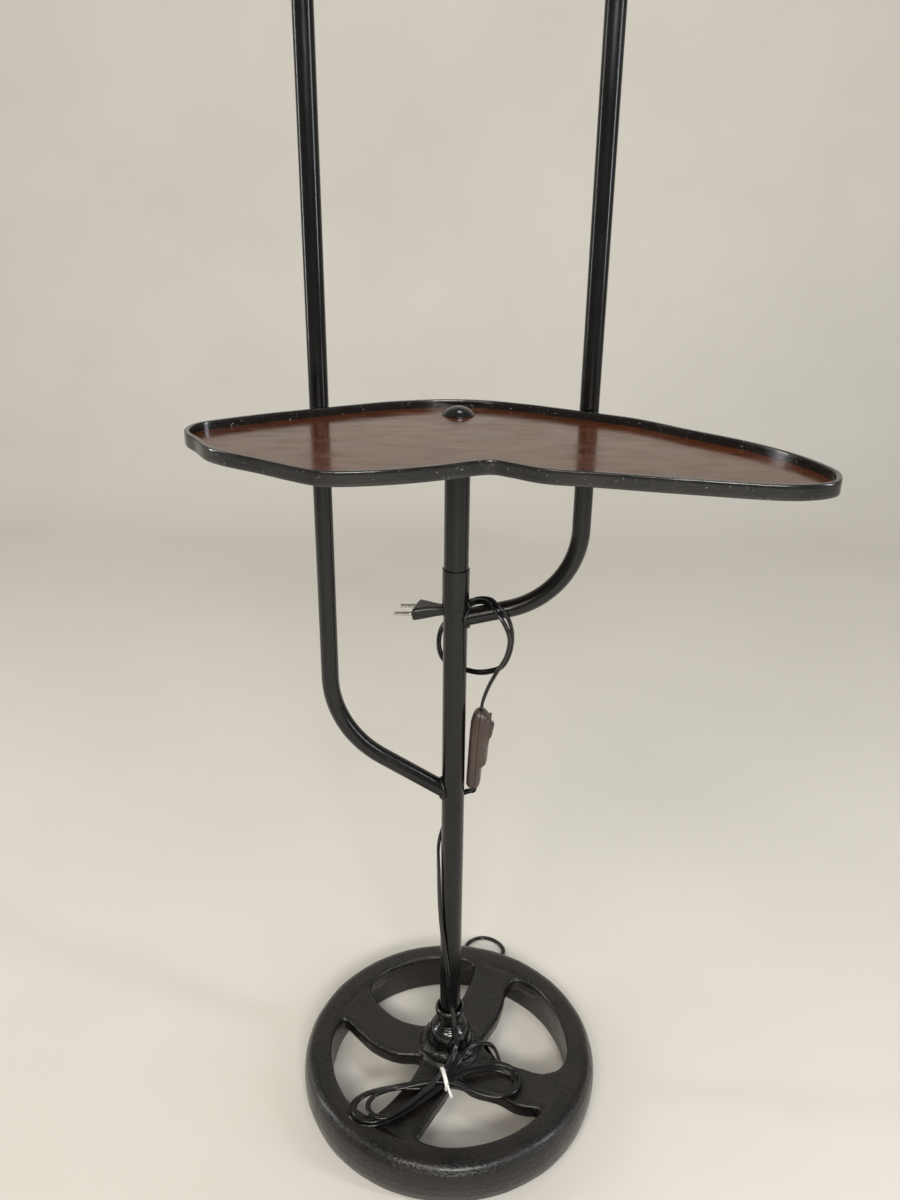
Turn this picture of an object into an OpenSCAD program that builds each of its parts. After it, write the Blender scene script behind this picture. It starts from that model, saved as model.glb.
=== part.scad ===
// Floor lamp with two upright side tubes, a shaped tray and a cast wheel for its base.
// The origin is on the floor, on the column's axis. X runs to the right, Y to the back, Z up.

/* [Base wheel] */
// Height of the wheel's rim
wheel_h = 46; // [38:1:60]
// Greatest radius of the rim, at the crown of its outer wall
wheel_r = 159; // [150:1:190]
// Radius of the rim's inner wall
rim_inner_r = 129; // [122:1:132]
// Thickness of the four spokes
spoke_t = 17; // [12:1:22]
// How far the spokes' tops lie below the rim's top
spoke_drop = 2; // [1:0.5:4]
// Radius of the hub
hub_r = 34; // [32:1:38]
// Thickness of the hub
hub_t = 28; // [22:1:34]
// Width of the cord notch under the rim
notch_w = 18; // [14:1:24]
// Height of the cord notch under the rim
notch_h = 9; // [7:1:12]

/* [Column] */
// Outside diameter of the column tube
column_d = 22; // [20:0.5:25]
// Wall of the column tube
column_wall = 1.5; // [1:0.25:2]
// Height of the tray's underside
tray_base_z = 739; // [680:1:800]
// Height of the joint between the two lengths of column
column_joint_z = 588; // [586:1:600]
// Length of the sleeve over that joint
sleeve_len = 37; // [30:1:38]
// Wall of the sleeve
sleeve_wall = 1.1; // [0.8:0.1:2]
// Radius of the collar's foot
collar_foot_r = 24; // [22:0.5:28]
// Height of the collar
collar_h = 52; // [46:1:60]

/* [Side tubes] */
// Outside diameter of the side tubes
branch_d = 16; // [14:0.5:18]
// Wall of the side tubes
branch_wall = 1.5; // [1:0.25:2]
// Distance from the column to the left tube
left_x = 115; // [105:1:130]
// Distance from the column to the right tube
right_x = 108; // [100:1:125]
// Height at which the left tube's axis meets the column's
left_joint_z = 370; // [350:1:400]
// Height at which the right tube's axis meets the column's
right_joint_z = 557; // [545:1:560]
// Slope of the left tube at the column, in degrees
left_slope = 32; // [20:1:45]
// Slope of the right tube at the column, in degrees
right_slope = 13; // [5:1:30]
// Bend radius of the left tube
left_bend_r = 100; // [60:1:105]
// Bend radius of the right tube
right_bend_r = 78; // [50:1:90]
// Height of the left tube's open end
left_top_z = 1312; // [1200:1:1400]
// Height of the right tube's open end
right_top_z = 1500; // [1400:1:1600]

/* [Tray] */
// Thickness of the board
board_t = 4; // [3:0.5:8]
// Thickness of the edge strip
strip_t = 4; // [2:0.5:5]
// How far the strip stands above the board
strip_rise = 6.5; // [4:0.5:12]
// Radius of the domed screw head
dome_r = 14; // [10:0.5:16]
// Height of the domed screw head
dome_h = 7; // [4:0.5:9]
// Diameter of the tray screw's shank
tray_screw_d = 8; // [6:1:10]

/* [Lamp heads] */
// Radius of each bowl at its mouth
bowl_r = 110; // [90:1:118]
// Depth of each bowl
bowl_h = 112; // [100:1:130]
// Thickness of the bowl's sheet
bowl_t = 1.2; // [1:0.1:2]
// Diameter of the threaded nipple
nipple_d = 10; // [9:0.5:11]
// Radius of the lampholder
holder_r = 20; // [18:0.5:22]
// Height of the lampholder's skirt
skirt_h = 30; // [26:1:36]
// Radius of the bulb's globe
bulb_r = 22.5; // [20:0.5:26]

/* [Cord and switch] */
// Width of the cord
cord_d = 5; // [4:0.1:6]
// Length of the inline switch
switch_l = 84; // [75:1:90]
// Width of the inline switch
switch_w = 24; // [20:0.5:28]
// Depth of each half of the switch's shell
switch_half_t = 9; // [8:0.5:10]
// Running clearance at the rocker's pivot
pivot_fit = 0.08; // [0.05:0.01:0.1]
// Clearance of pieces that are pushed or screwed together
push_fit = 0.05; // [0.02:0.01:0.1]

/* [Hidden] */

$fn = 64;

// Places that follow from the sizes above.
spoke_top_z = wheel_h - spoke_drop;
hub_top_z = wheel_h + 2;
column_foot_z = hub_top_z - hub_t + 2;
column_bore_d = column_d - 2 * column_wall;
tray_floor_z = tray_base_z + board_t;
washer_t = 3;
column_top_z = tray_base_z - washer_t;
branch_bore_d = branch_d - 2 * branch_wall;
wire_d = 4;
wire_x = 3.2;
splice_z = 300;
splice_l = 34;
splice_gap = 1.5;
wire_hole_d = 8;
tray_hole_d = tray_screw_d + 0.6;
tray_screw_grip = 24;

// Points of a rounded corner: centre, radius, first and last angle.
function arc(cx, cz, r, a0, a1, n = 5) =
    [for (i = [0 : n]) let (a = a0 + (a1 - a0) * i / n) [cx + r * cos(a), cz + r * sin(a)]];

// One point of the smooth curve that passes through a, b, c and d, between b and c.
function curve_point(a, b, c, d, t) =
    0.5 * ((2 * b) + (c - a) * t + (2 * a - 5 * b + 4 * c - d) * t * t + (3 * b - a - 3 * c + d) * t * t * t);

// A smooth open curve through points, each stretch cut into n.
function smooth_open(p, n) =
    [for (i = [0 : len(p) - 2], k = [0 : n - 1])
        curve_point(p[max(i - 1, 0)], p[i], p[i + 1], p[min(i + 2, len(p) - 1)], k / n),
     p[len(p) - 1]];

// A smooth closed curve through points, each stretch cut into n.
function smooth_closed(p, n) =
    let (m = len(p))
    [for (i = [0 : m - 1], k = [0 : n - 1])
        curve_point(p[(i + m - 1) % m], p[i], p[(i + 1) % m], p[(i + 2) % m], k / n)];

function unit(v) = v / norm(v);

// ---- Base wheel ----

// Each spoke: the angles of its two edges at the radii below, from the rim to the hub.
spoke_radii = [rim_inner_r + 5, rim_inner_r - 5, 106, 84, 60, hub_r - 4];
spoke_edges = [
    [[85, 77, 75, 76, 79, 90], [42, 50, 51, 43, 31, -4]],
    [[171, 165, 170, 181, 194, 212], [130, 139, 144, 148, 149, 130]],
    [[263, 255, 256, 260, 269, 284], [220, 229, 231, 231, 229, 212]],
    [[353, 345, 339, 338, 338, 366], [327, 319, 312, 307, 291, 268]]];

function polar(r, a) = [r * cos(a), r * sin(a)];

function edge_points(angles) =
    smooth_open([for (i = [0 : len(spoke_radii) - 1]) polar(spoke_radii[i], angles[i])], 4);

function reversed(p) = [for (i = [len(p) - 1 : -1 : 0]) p[i]];

module spoke(edges) {
    linear_extrude(spoke_t) polygon(concat(edge_points(edges[0]), reversed(edge_points(edges[1]))));
}

// Half section of the rim: a rounded top, a crowned outer wall and a flat foot.
module rim_section() {
    crown = [wheel_r - 3, wheel_r - 1, wheel_r, wheel_r - 0.5, wheel_r - 2];
    heights = [wheel_h - 8, wheel_h - 15, wheel_h * 0.48, wheel_h * 0.27, 6];
    polygon(concat(
        arc(rim_inner_r + 4, 4, 4, 270, 180, 3),
        arc(rim_inner_r + 3, wheel_h - 3, 3, 180, 90, 3),
        arc(wheel_r - 9, wheel_h - 5, 5, 90, 20, 5),
        [for (i = [0 : 4]) [crown[i], heights[i]]],
        arc(wheel_r - 8, 6, 6, -10, -90, 4)));
}

module wheel_base() {
    notch_turn = 74;
    color([0.13, 0.12, 0.11]) difference() {
        union() {
            rotate_extrude($fn = 96) rim_section();
            for (edges = spoke_edges)
                translate([0, 0, spoke_top_z - spoke_t]) spoke(edges);
            translate([0, 0, hub_top_z - hub_t]) cylinder(h = hub_t, r = hub_r);
        }
        translate([0, 0, hub_top_z - hub_t - 1]) cylinder(h = hub_t + 2, d = column_d + 2 * push_fit);
        rotate([0, 0, notch_turn]) translate([rim_inner_r - 10, -notch_w / 2, -1])
            cube([wheel_r - rim_inner_r + 20, notch_w, notch_h + 1]);
    }
}

// ---- Column ----

// Straight stretch of a side tube, from the column's axis to the start of its bend, then the bend
// and the upright, as one solid of diameter d. A low ring covers each seam of the bend.
module bent_rod(d, x, z0, slope, bend_r, top) {
    run = (x - bend_r + bend_r * sin(slope)) / cos(slope);
    bend_z = z0 + run * sin(slope) + bend_r * cos(slope);
    ring_l = 1;
    ring_d = d + 0.2;
    back = 0.3;
    translate([0, 0, z0]) rotate([0, 90 - slope, 0]) {
        cylinder(h = run - back, d = d);
        translate([0, 0, run - ring_l / 2]) cylinder(h = ring_l, d = ring_d);
    }
    translate([x - bend_r, 0, bend_z]) rotate([90, 0, 0]) rotate([0, 0, slope - 90])
        rotate_extrude(angle = 90 - slope) translate([bend_r, 0]) circle(d = d, $fn = 32);
    translate([x, 0, bend_z - ring_l / 2]) cylinder(h = ring_l, d = ring_d);
    translate([x, 0, bend_z + back]) cylinder(h = top - bend_z - back, d = d);
}

module left_rod(d, top) {
    mirror([1, 0, 0]) bent_rod(d, left_x, left_joint_z, left_slope, left_bend_r, top);
}

module right_rod(d, top) {
    bent_rod(d, right_x, right_joint_z, right_slope, right_bend_r, top);
}

// The hole through the column's wall that a side tube's wires pass through.
module wire_hole(side, z0, slope) {
    translate([0, 0, z0]) rotate([0, side * (90 - slope), 0]) cylinder(h = column_d, d = wire_hole_d);
}

module wire_holes() {
    wire_hole(1, right_joint_z, right_slope);
    wire_hole(-1, left_joint_z, left_slope);
}

module tube(z0, z1, outer, inner) {
    translate([0, 0, z0]) difference() {
        cylinder(h = z1 - z0, d = outer);
        translate([0, 0, -1]) cylinder(h = z1 - z0 + 2, d = inner);
    }
}

module column_lower() {
    color([0.12, 0.11, 0.11]) difference() {
        tube(column_foot_z, column_joint_z, column_d, column_bore_d);
        wire_holes();
    }
}

module column_upper() {
    color([0.12, 0.11, 0.11]) tube(column_joint_z, column_top_z, column_d, column_bore_d);
}

module column_sleeve() {
    bore = column_d + 2 * push_fit;
    color([0.13, 0.12, 0.12])
        tube(column_joint_z - sleeve_len / 2, column_joint_z + sleeve_len / 2, bore + 2 * sleeve_wall, bore);
}

collar_waist_z = 0.6 * collar_h;
collar_screw_z = collar_h - 14.5;
screw_d = 4;

// Bell-shaped collar: a wide foot, a waist and a double-beaded top.
module column_collar() {
    r = collar_foot_r;
    h = collar_h;
    bore = column_d / 2 + push_fit;
    color([0.06, 0.06, 0.06]) translate([0, 0, hub_top_z]) difference() {
        rotate_extrude() polygon([[bore, 0], [r, 0], [r, 9], [r - 0.5, 14], [r - 1.5, 18.5], [r - 3, 22.5],
            [r - 5, 26], [r - 6.8, 27.6], [r - 7, 29], [r - 7.8, 30.4], [r - 10.2, collar_waist_z],
            [r - 10.4, collar_waist_z + 2], [r - 10.4, h - 11], [r - 9, h - 9.4], [r - 8.3, h - 7.6],
            [r - 8.2, h - 3.5], [r - 8.8, h - 1.2], [r - 9.8, h], [bore + 1.6, h], [bore, h - 4]]);
        translate([0, 0, collar_screw_z]) rotate([90, 0, 0]) cylinder(h = r, d = screw_d + 2 * push_fit);
    }
}

module collar_screw() {
    screw_l = 3.6;
    color([0.25, 0.24, 0.22]) translate([0, -column_d / 2, hub_top_z + collar_screw_z]) rotate([90, 0, 0])
        difference() {
            cylinder(h = screw_l, d = screw_d);
            translate([-0.4, -screw_d, screw_l - 1]) cube([0.8, 2 * screw_d, 2]);
        }
}

// Ring of filler round the collar's foot.
module collar_bead() {
    bead_out = 7;
    bead_up = 5;
    inner = collar_foot_r + push_fit;
    color([0.1, 0.1, 0.09]) translate([0, 0, hub_top_z]) rotate_extrude()
        polygon(concat([[inner, 0]],
            [for (i = [0 : 6]) [inner + bead_out * cos(15 * i), bead_up * sin(15 * i)]]));
}

// Bush in the column's foot that the supply cord comes out of.
module cord_grommet() {
    bore = cord_d + 0.4;
    top = column_foot_z + 8;
    color([0.05, 0.05, 0.05]) difference() {
        union() {
            translate([0, 0, column_foot_z])
                cylinder(h = top - column_foot_z, d = column_bore_d - 2 * push_fit);
            translate([0, 0, column_foot_z - 2]) cylinder(h = 2, d = column_d - 1);
        }
        translate([0, 0, column_foot_z - 3]) cylinder(h = top, d = bore);
    }
}

module side_tube_left() {
    difference() {
        left_rod(branch_d, left_top_z);
        left_rod(branch_bore_d, left_top_z + 1);
        cylinder(h = left_top_z, d = column_d + 2 * push_fit);
    }
}

module side_tube_right() {
    difference() {
        right_rod(branch_d, right_top_z);
        right_rod(branch_bore_d, right_top_z + 1);
        cylinder(h = right_top_z, d = column_d + 2 * push_fit);
    }
}

module branch_left() {
    color([0.12, 0.11, 0.11]) side_tube_left();
}

module branch_right() {
    color([0.12, 0.11, 0.11]) side_tube_right();
}

// A weld round a side tube's foot: a ring about the tube, cut back from the tube and the column.
module foot_weld(side, z0, slope) {
    weld_r = branch_d / 2 + 3.2;
    weld_tip_r = branch_d / 2 + 0.6;
    reach = column_d / 2 + 6;
    near_x = 6;
    box_l = 60;
    difference() {
        translate([0, 0, z0]) rotate([0, side * (90 - slope), 0])
            cylinder(h = reach / cos(slope), r1 = weld_r, r2 = weld_tip_r);
        translate([0, 0, z0]) rotate([0, side * (90 - slope), 0])
            translate([0, 0, -1]) cylinder(h = box_l, d = branch_d + 2 * push_fit);
        translate([0, 0, z0 - box_l]) cylinder(h = 2 * box_l, d = column_d + 2 * push_fit);
        translate([side * (near_x - box_l / 2), 0, z0]) cube([box_l, 2 * box_l, 2 * box_l], center = true);
        translate([0, 0, column_joint_z - sleeve_len / 2 - push_fit]) cylinder(h = box_l, d = 2 * box_l);
    }
}

module weld_beads() {
    color([0.1, 0.1, 0.1]) {
        foot_weld(1, right_joint_z, right_slope);
        foot_weld(-1, left_joint_z, left_slope);
    }
}

// ---- Tray ----

// The tray's outline, hand-set round numbers, from the left tip along the back to the right tip,
// then along the front past the hollow where the strip's ends meet.
tray_outline = [[-205, -84], [-201, -67], [-184, -52], [-151, -30], [-118, -12], [-88, 4], [-55, 20],
    [-16, 30], [22, 28], [59, 14], [83, 1], [112, -16], [144, -36], [176, -69], [212, -104], [236, -138],
    [249, -172], [249, -191], [238, -209], [206, -216], [146, -205], [89, -192], [56, -185], [34, -171],
    [22, -165], [6, -170], [-13, -180], [-40, -190], [-72, -197], [-92, -196], [-109, -187], [-135, -169],
    [-163, -151], [-178, -137], [-190, -116], [-201, -99]];

tray_edge = smooth_closed(tray_outline, 3);

// The same outline moved inwards by d, along the normal at each point.
function inset(p, d) =
    let (m = len(p))
    [for (i = [0 : m - 1])
        let (t = unit(p[(i + 1) % m] - p[(i + m - 1) % m]))
        p[i] + d * [t[1], -t[0]]];

module tray_board() {
    color([0.1, 0.05, 0.04]) difference() {
        translate([0, 0, tray_base_z]) linear_extrude(board_t) polygon(inset(tray_edge, strip_t));
        translate([0, 0, tray_base_z - 1]) cylinder(h = board_t + 2, d = tray_hole_d);
    }
}

module tray_strip() {
    seam = 0.4;
    color([0.05, 0.05, 0.05]) translate([0, 0, tray_base_z]) difference() {
        linear_extrude(board_t + strip_rise) polygon(tray_edge);
        translate([0, 0, -1]) linear_extrude(board_t + strip_rise + 3) polygon(inset(tray_edge, strip_t));
        translate([tray_outline[24][0] - seam / 2, tray_outline[24][1] - 8, -1])
            cube([seam, 20, board_t + strip_rise + 3]);
    }
}

// Washer between the column's end and the board.
module tray_washer() {
    washer_r = 26;
    color([0.3, 0.3, 0.3]) tube(column_top_z, tray_base_z, 2 * washer_r, tray_hole_d);
}

// Plug in the column's end, tapped for the tray screw.
module top_plug() {
    plug_l = 30;
    color([0.45, 0.44, 0.42])
        tube(column_top_z - plug_l, column_top_z, column_bore_d - 2 * push_fit, tray_screw_d + 2 * push_fit);
}

// Domed screw that holds the tray on the column.
module tray_screw() {
    ball_r = (dome_r * dome_r + dome_h * dome_h) / (2 * dome_h);
    color([0.08, 0.07, 0.07]) {
        translate([0, 0, tray_floor_z]) rotate_extrude()
            polygon(concat([[0, 0], [dome_r, 0]],
                [for (i = [1 : 8]) let (a = asin(dome_r / ball_r) * (1 - i / 8))
                    [ball_r * sin(a), dome_h - ball_r + ball_r * cos(a)]]));
        translate([0, 0, column_top_z - tray_screw_grip])
            cylinder(h = tray_floor_z - column_top_z + tray_screw_grip, d = tray_screw_d);
    }
}

// ---- Lamp heads ----

flange_t = 4;
bush_l = 20;
nut_t = 5;
nipple_low = 14;
cap_h = 16;

// Heights above a side tube's end.
bowl_seat_h = flange_t;
nut_h = bowl_seat_h + bowl_t;
cap_low_h = nut_h + nut_t;
skirt_low_h = cap_low_h + cap_h;
nipple_high = cap_low_h + 6;

// Carries a head's pieces to its tube's end.
module at_left() {
    translate([-left_x, 0, left_top_z]) children();
}

module at_right() {
    translate([right_x, 0, right_top_z]) children();
}

// Bush in the tube's end, with a flange that the bowl sits on.
module bush() {
    color([0.1, 0.1, 0.1]) difference() {
        union() {
            translate([0, 0, -bush_l]) cylinder(h = bush_l, d = branch_bore_d - 2 * push_fit);
            cylinder(h = flange_t, r1 = branch_d / 2, r2 = branch_d / 2 + 5);
        }
        translate([0, 0, -bush_l - 1]) cylinder(h = bush_l + flange_t + 2, d = nipple_d + 2 * push_fit);
    }
}

module nipple() {
    color([0.7, 0.6, 0.3]) tube(-nipple_low, nipple_high, nipple_d, nipple_d - 3);
}

// Spun bowl: a flat seat, a rounded heel and a flaring side with a rolled lip.
seat_r = 24;
lip_r = 2.2;

// Point of the bowl's curve at angle a, moved inwards by d along the normal.
function bowl_point(a, d) =
    let (w = bowl_r - seat_r, h = bowl_h - 3, n = unit([-h * sin(a), w * cos(a)]))
    [seat_r + w * sin(a), h * (1 - cos(a))] + d * n;

module bowl() {
    bore = nipple_d / 2 + push_fit;
    color([0.08, 0.08, 0.08]) translate([0, 0, bowl_seat_h]) rotate_extrude($fn = 96) union() {
        polygon(concat([[bore, 0]], [for (a = [0 : 9 : 90]) bowl_point(a, 0)],
            [for (a = [90 : -9 : 0]) bowl_point(a, bowl_t)], [[bore, bowl_t]]));
        translate([bowl_r - bowl_t / 2, bowl_h - 2.6]) circle(r = lip_r, $fn = 24);
    }
}

module bowl_nut() {
    across = 15;
    translate([0, 0, nut_h]) difference() {
        cylinder(h = nut_t, d = across / cos(30), $fn = 6);
        translate([0, 0, -1]) cylinder(h = nut_t + 2, d = nipple_d + 2 * push_fit);
    }
}

module bowl_nuts() {
    color([0.7, 0.6, 0.3]) {
        at_left() bowl_nut();
        at_right() bowl_nut();
    }
}

// Domed cap of the lampholder, tapped for the nipple.
module holder_cap() {
    wall = 2;
    color([0.06, 0.06, 0.06]) translate([0, 0, cap_low_h]) rotate_extrude()
        polygon([[nipple_d / 2 + push_fit, 0], [10, 0], [holder_r - 3, 4], [holder_r, 9], [holder_r, cap_h],
            [holder_r - wall, cap_h], [holder_r - wall, 9], [holder_r - 5, 5.5], [10, 3.5],
            [nipple_d / 2 + push_fit, 3.5]]);
}

// Skirt of the lampholder, with the floor that carries its contacts.
module holder_skirt() {
    bore_r = 13.6;
    floor_t = 5;
    color([0.06, 0.06, 0.06]) translate([0, 0, skirt_low_h]) rotate_extrude()
        polygon([[0, 0], [holder_r, 0], [holder_r, skirt_h - 4], [holder_r - 2, skirt_h],
            [bore_r, skirt_h], [bore_r, floor_t], [0, floor_t]]);
}

bulb_cap_h = 25;
bulb_low_h = skirt_low_h + skirt_h + 1.2 - bulb_cap_h;

// Screw cap of the bulb, with its centre contact.
module bulb_cap() {
    color([0.7, 0.7, 0.7]) translate([0, 0, bulb_low_h]) rotate_extrude()
        polygon([[0, 0], [4, 0], [6, 2], [11.5, 5], [13, 7], [13, bulb_cap_h], [0, bulb_cap_h]]);
}

// Globe of the bulb: a neck that swells into a ball.
module bulb_globe() {
    neck_r = 13;
    ball_z = bulb_r + 6;
    color([0.95, 0.95, 0.9]) translate([0, 0, bulb_low_h + bulb_cap_h]) rotate_extrude()
        polygon(concat([[0, 0], [neck_r, 0], [neck_r + 0.5, 5]], arc(0, ball_z, bulb_r, -50, 89, 12),
            [[0, ball_z + bulb_r]]));
}

// ---- Wiring inside ----

// A wire's way down the column from the splice to its side tube, with a ball at the turn.
module wire_down(x, z1) {
    ball_d = wire_d + 0.2;
    translate([x, 0, splice_z + splice_l]) cylinder(h = z1 - splice_z - splice_l, d = wire_d);
    translate([x, 0, z1]) sphere(d = ball_d);
}

// A wire from a lampholder down its side tube and the column to the splice.
module wire_left() {
    turn_z = left_joint_z + wire_x * tan(left_slope);
    color([0.6, 0.6, 0.6]) {
        difference() {
            left_rod(wire_d, left_top_z + nipple_high);
            translate([-wire_x, -wire_x, left_joint_z - 5]) cube([20, 20, 20]);
        }
        wire_down(-wire_x, turn_z);
    }
}

module wire_right() {
    turn_z = right_joint_z + wire_x * tan(right_slope);
    color([0.6, 0.6, 0.6]) {
        difference() {
            right_rod(wire_d, right_top_z + nipple_high);
            translate([wire_x - 20, -wire_x, right_joint_z - 5]) cube([20, 20, 20]);
        }
        wire_down(wire_x, turn_z);
    }
}

module splice_block() {
    color([0.85, 0.85, 0.8]) translate([0, 0, splice_z])
        cylinder(h = splice_l, d = column_bore_d - 2 * splice_gap);
}

module wire_supply() {
    color([0.1, 0.1, 0.1]) translate([0, 0, column_foot_z])
        cylinder(h = splice_z - column_foot_z, d = cord_d);
}

// ---- Cord ----

// Routes of the cord, hand-set round numbers in millimetres.
floor_route = [[0, 0, 22], [0, 1, 14], [2, 5, 6], [6, 14, 3], [12, 30, 3], [19, 60, 3], [26, 95, 3],
    [34.5, 130, 3], [38, 150, 3], [30, 168, 3], [20, 184, 3], [24, 202, 3], [40, 212, 3], [57, 208, 3],
    [69, 192, 3], [64, 174, 3], [50, 156, 3], [44.5, 137, 3], [41.5, 124, 3], [39, 100, 3], [38, 66, 3],
    [42, 34, 3], [52, 12, 4], [57, -2, 14], [54, -7, 31], [50, -12, 48], [43, -15, 59], [33, -18, 62],
    [20, -24, 61], [9, -38, 58], [2, -46, 54]];
riser_points = [[-4, -50, 60], [2, -42, 66], [6.5, -33, 71], [7, -28, 78], [5, -21, 90], [3.5, -17, 102],
    [1.5, -14.5, 114], [-1, -14, 135], [-4, -13.2, 165], [-7.5, -11.6, 195], [-10.5, -9, 222],
    [-12.4, -5.8, 250], [-13.2, -4.2, 281], [-13.9, 1, 303], [-12.6, 6.3, 313], [-9.5, 10.2, 322],
    [-3, 14, 343], [6, 15, 358], [15, 10, 367], [21.2, 2, 374], [21.7, 2, 383]];
plug_points = [[25.7, 2, 459], [26.5, 2, 471], [32, -2, 491], [39, -8, 509], [46, -13.5, 527],
    [48.5, -16, 545], [44, -16.5, 559], [37, -12.5, 568.5], [31.5, -7, 573.8], [28, -2.5, 575],
    [21.5, 4, 573.2], [15, 11, 568], [8, 16.5, 561], [-2, 18.5, 552], [-12, 15, 542], [-15, 11, 530],
    [-13, 12, 516], [-5, 15, 504], [7, 16, 499], [21, 11, 498], [34, 4, 503], [44, -3, 512],
    [50, -7, 527], [51.5, -9.5, 544], [48.5, -10.5, 559], [42, -10.5, 570.8], [37.5, -8, 574],
    [33, -3, 576.8], [26.5, 4, 575.5], [20, 11, 572], [11, 16.6, 566.5], [2, 18.4, 561.5], [-5, 17, 558.8]];

// The routes are drawn for a column of this diameter and a switch of this length. For another column
// they move out or in with its wall, and the cord's start moves with the switch's upper end.
route_column_d = 22;
route_switch_l = 84;
switch_shift = [0, 0, switch_l - route_switch_l];
wall_shift = (column_d - route_column_d) / 2;

function off_column(p) =
    let (k = 1 + wall_shift / norm([p[0], p[1]]))
    [k * p[0], k * p[1], p[2]];

riser_route = [for (p = riser_points) off_column(p)];
plug_route = [for (i = [0 : len(plug_points) - 1])
    off_column(plug_points[i] + (i < 2 ? switch_shift : [0, 0, 0]))];

// Rings of a round tube swept along a route. Each ring's first direction is the last one's, turned
// as little as the route turns.
function turned(n, t) = unit(n - (n * t) * t);

function tangents(p) =
    [for (i = [0 : len(p) - 1]) unit(p[min(i + 1, len(p) - 1)] - p[max(i - 1, 0)])];

function first_normals(t) =
    [for (i = 0, n = turned([0.3, 0.9, 0.2], t[0]); i < len(t); i = i + 1,
        n = i < len(t) ? turned(n, t[i]) : n) n];

module swept_tube(route, d, sides = 8) {
    t = tangents(route);
    n = first_normals(t);
    count = len(route);
    points = [for (i = [0 : count - 1], k = [0 : sides - 1])
        let (a = 360 * k / sides)
        route[i] + d / 2 * (n[i] * cos(a) + cross(t[i], n[i]) * sin(a))];
    sides_list = [for (i = [0 : count - 2], k = [0 : sides - 1], h = [0 : 1])
        let (a = i * sides + k, b = i * sides + (k + 1) % sides)
        h == 0 ? [a, a + sides, b] : [b, a + sides, b + sides]];
    first_cap = [for (k = [1 : sides - 2]) [0, k, k + 1]];
    last = (count - 1) * sides;
    last_cap = [for (k = [1 : sides - 2]) [last, last + k + 1, last + k]];
    polyhedron(points = points, faces = concat(sides_list, first_cap, last_cap));
}

module cord_floor() {
    color([0.04, 0.04, 0.04]) swept_tube(floor_route, cord_d);
}

module cord_riser() {
    color([0.04, 0.04, 0.04]) swept_tube(riser_route, cord_d);
}

module cord_switch_to_plug() {
    color([0.04, 0.04, 0.04]) swept_tube(plug_route, cord_d);
}

// The folded cord: one long lobe to the left of the tie and one to the right.
hank_outline = [[-2, -48], [-30, -57], [-62, -62], [-88, -69], [-101, -80], [-102, -93], [-94, -105],
    [-78, -109], [-60, -103], [-36, -86], [-10, -66], [24, -66], [44, -76], [62, -74], [75, -62],
    [76, -48], [66, -39], [46, -37], [20, -44]];

module cord_hank() {
    hank_t = 12;
    color([0.04, 0.04, 0.04]) translate([0, 0, hub_top_z + 0.5])
        linear_extrude(hank_t) polygon(smooth_closed(hank_outline, 3));
}

tie_at = [-5, -57];
tie_turn = 14;

// Flat band round the bundle.
module cord_tie() {
    band_w = 4;
    band_l = 24;
    band_h = 14;
    side_t = 1.2;
    low_t = 0.4;
    top_t = 1.3;
    color([0.95, 0.95, 0.95]) translate([tie_at[0], tie_at[1], hub_top_z]) rotate([0, 0, tie_turn])
        difference() {
            translate([-band_w / 2, -band_l / 2, 0]) cube([band_w, band_l, band_h]);
            translate([-band_w / 2 - 1, side_t - band_l / 2, low_t])
                cube([band_w + 2, band_l - 2 * side_t, band_h - low_t - top_t]);
        }
}

// ---- Inline switch ----

switch_x = 21.5;
switch_y = 2;
switch_low_z = 379;
switch_lean = 3;
switch_turn = 80;
foot_t = 4.5;
foot_l = 0.3 * switch_l;
screw_reach = 3.2;
head_d = 5;
head_t = 1.5;
head_sink = 1.8;
boss_d = 6;
ear_x = 9;
ear_h = 8;
shell_wall = 2;
bevel = 2.2;
deep_y = switch_half_t - 4;
rocker_up = 0.768 * switch_l;
rocker_l = 24;
rocker_w = 12;
rocker_tilt = 7;
rocker_pivot_y = -3;
pivot_d = 3;
pin_l = 17;
switch_screw_d = 2.6;
switch_screw_z = [14, 34];

// Carries the switch's pieces to where it hangs; in its own frame -Y is the rocker's face.
module at_switch() {
    translate([switch_x + wall_shift, switch_y, switch_low_z])
        rotate([0, switch_lean, 0]) rotate([0, 0, switch_turn]) children();
}

// Outline of the shell: widest at the rocker, drawn in towards the foot and the top.
function shell_outline(cut) =
    let (w = switch_w / 2 - cut, l = switch_l,
        side = [[0.45, cut], [0.68, 0.06 * l], [0.78, 0.22 * l], [0.86, 0.36 * l], [0.95, 0.5 * l],
            [1, 0.62 * l], [0.98, 0.76 * l], [0.78, 0.91 * l], [0.42, l - cut]])
    smooth_closed(concat([for (p = side) [-w * p[0], p[1]]], [for (p = reversed(side)) [w * p[0], p[1]]]), 3);

module shell_slab(cut, y0, y1) {
    translate([0, y1, 0]) rotate([90, 0, 0]) linear_extrude(y1 - y0) polygon(shell_outline(cut));
}

// Half a shell, in two steps so that its edge is bevelled, between y = 0 and y = side * depth.
module shell_half(cut, side, near, deep) {
    if (side < 0) {
        shell_slab(cut, -deep, -near);
        shell_slab(cut + bevel, -switch_half_t + cut, -near);
    } else {
        shell_slab(cut, near, deep);
        shell_slab(cut + bevel, near, switch_half_t - cut);
    }
}

module cord_ways() {
    for (z = [-1, switch_l - 6])
        translate([0, 0, z]) cylinder(h = 7, d = cord_d + 0.4);
}

module screw_ways(d, y0, y1) {
    for (z = switch_screw_z)
        translate([0, y1, z]) rotate([90, 0, 0]) cylinder(h = y1 - y0, d = d);
}

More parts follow.
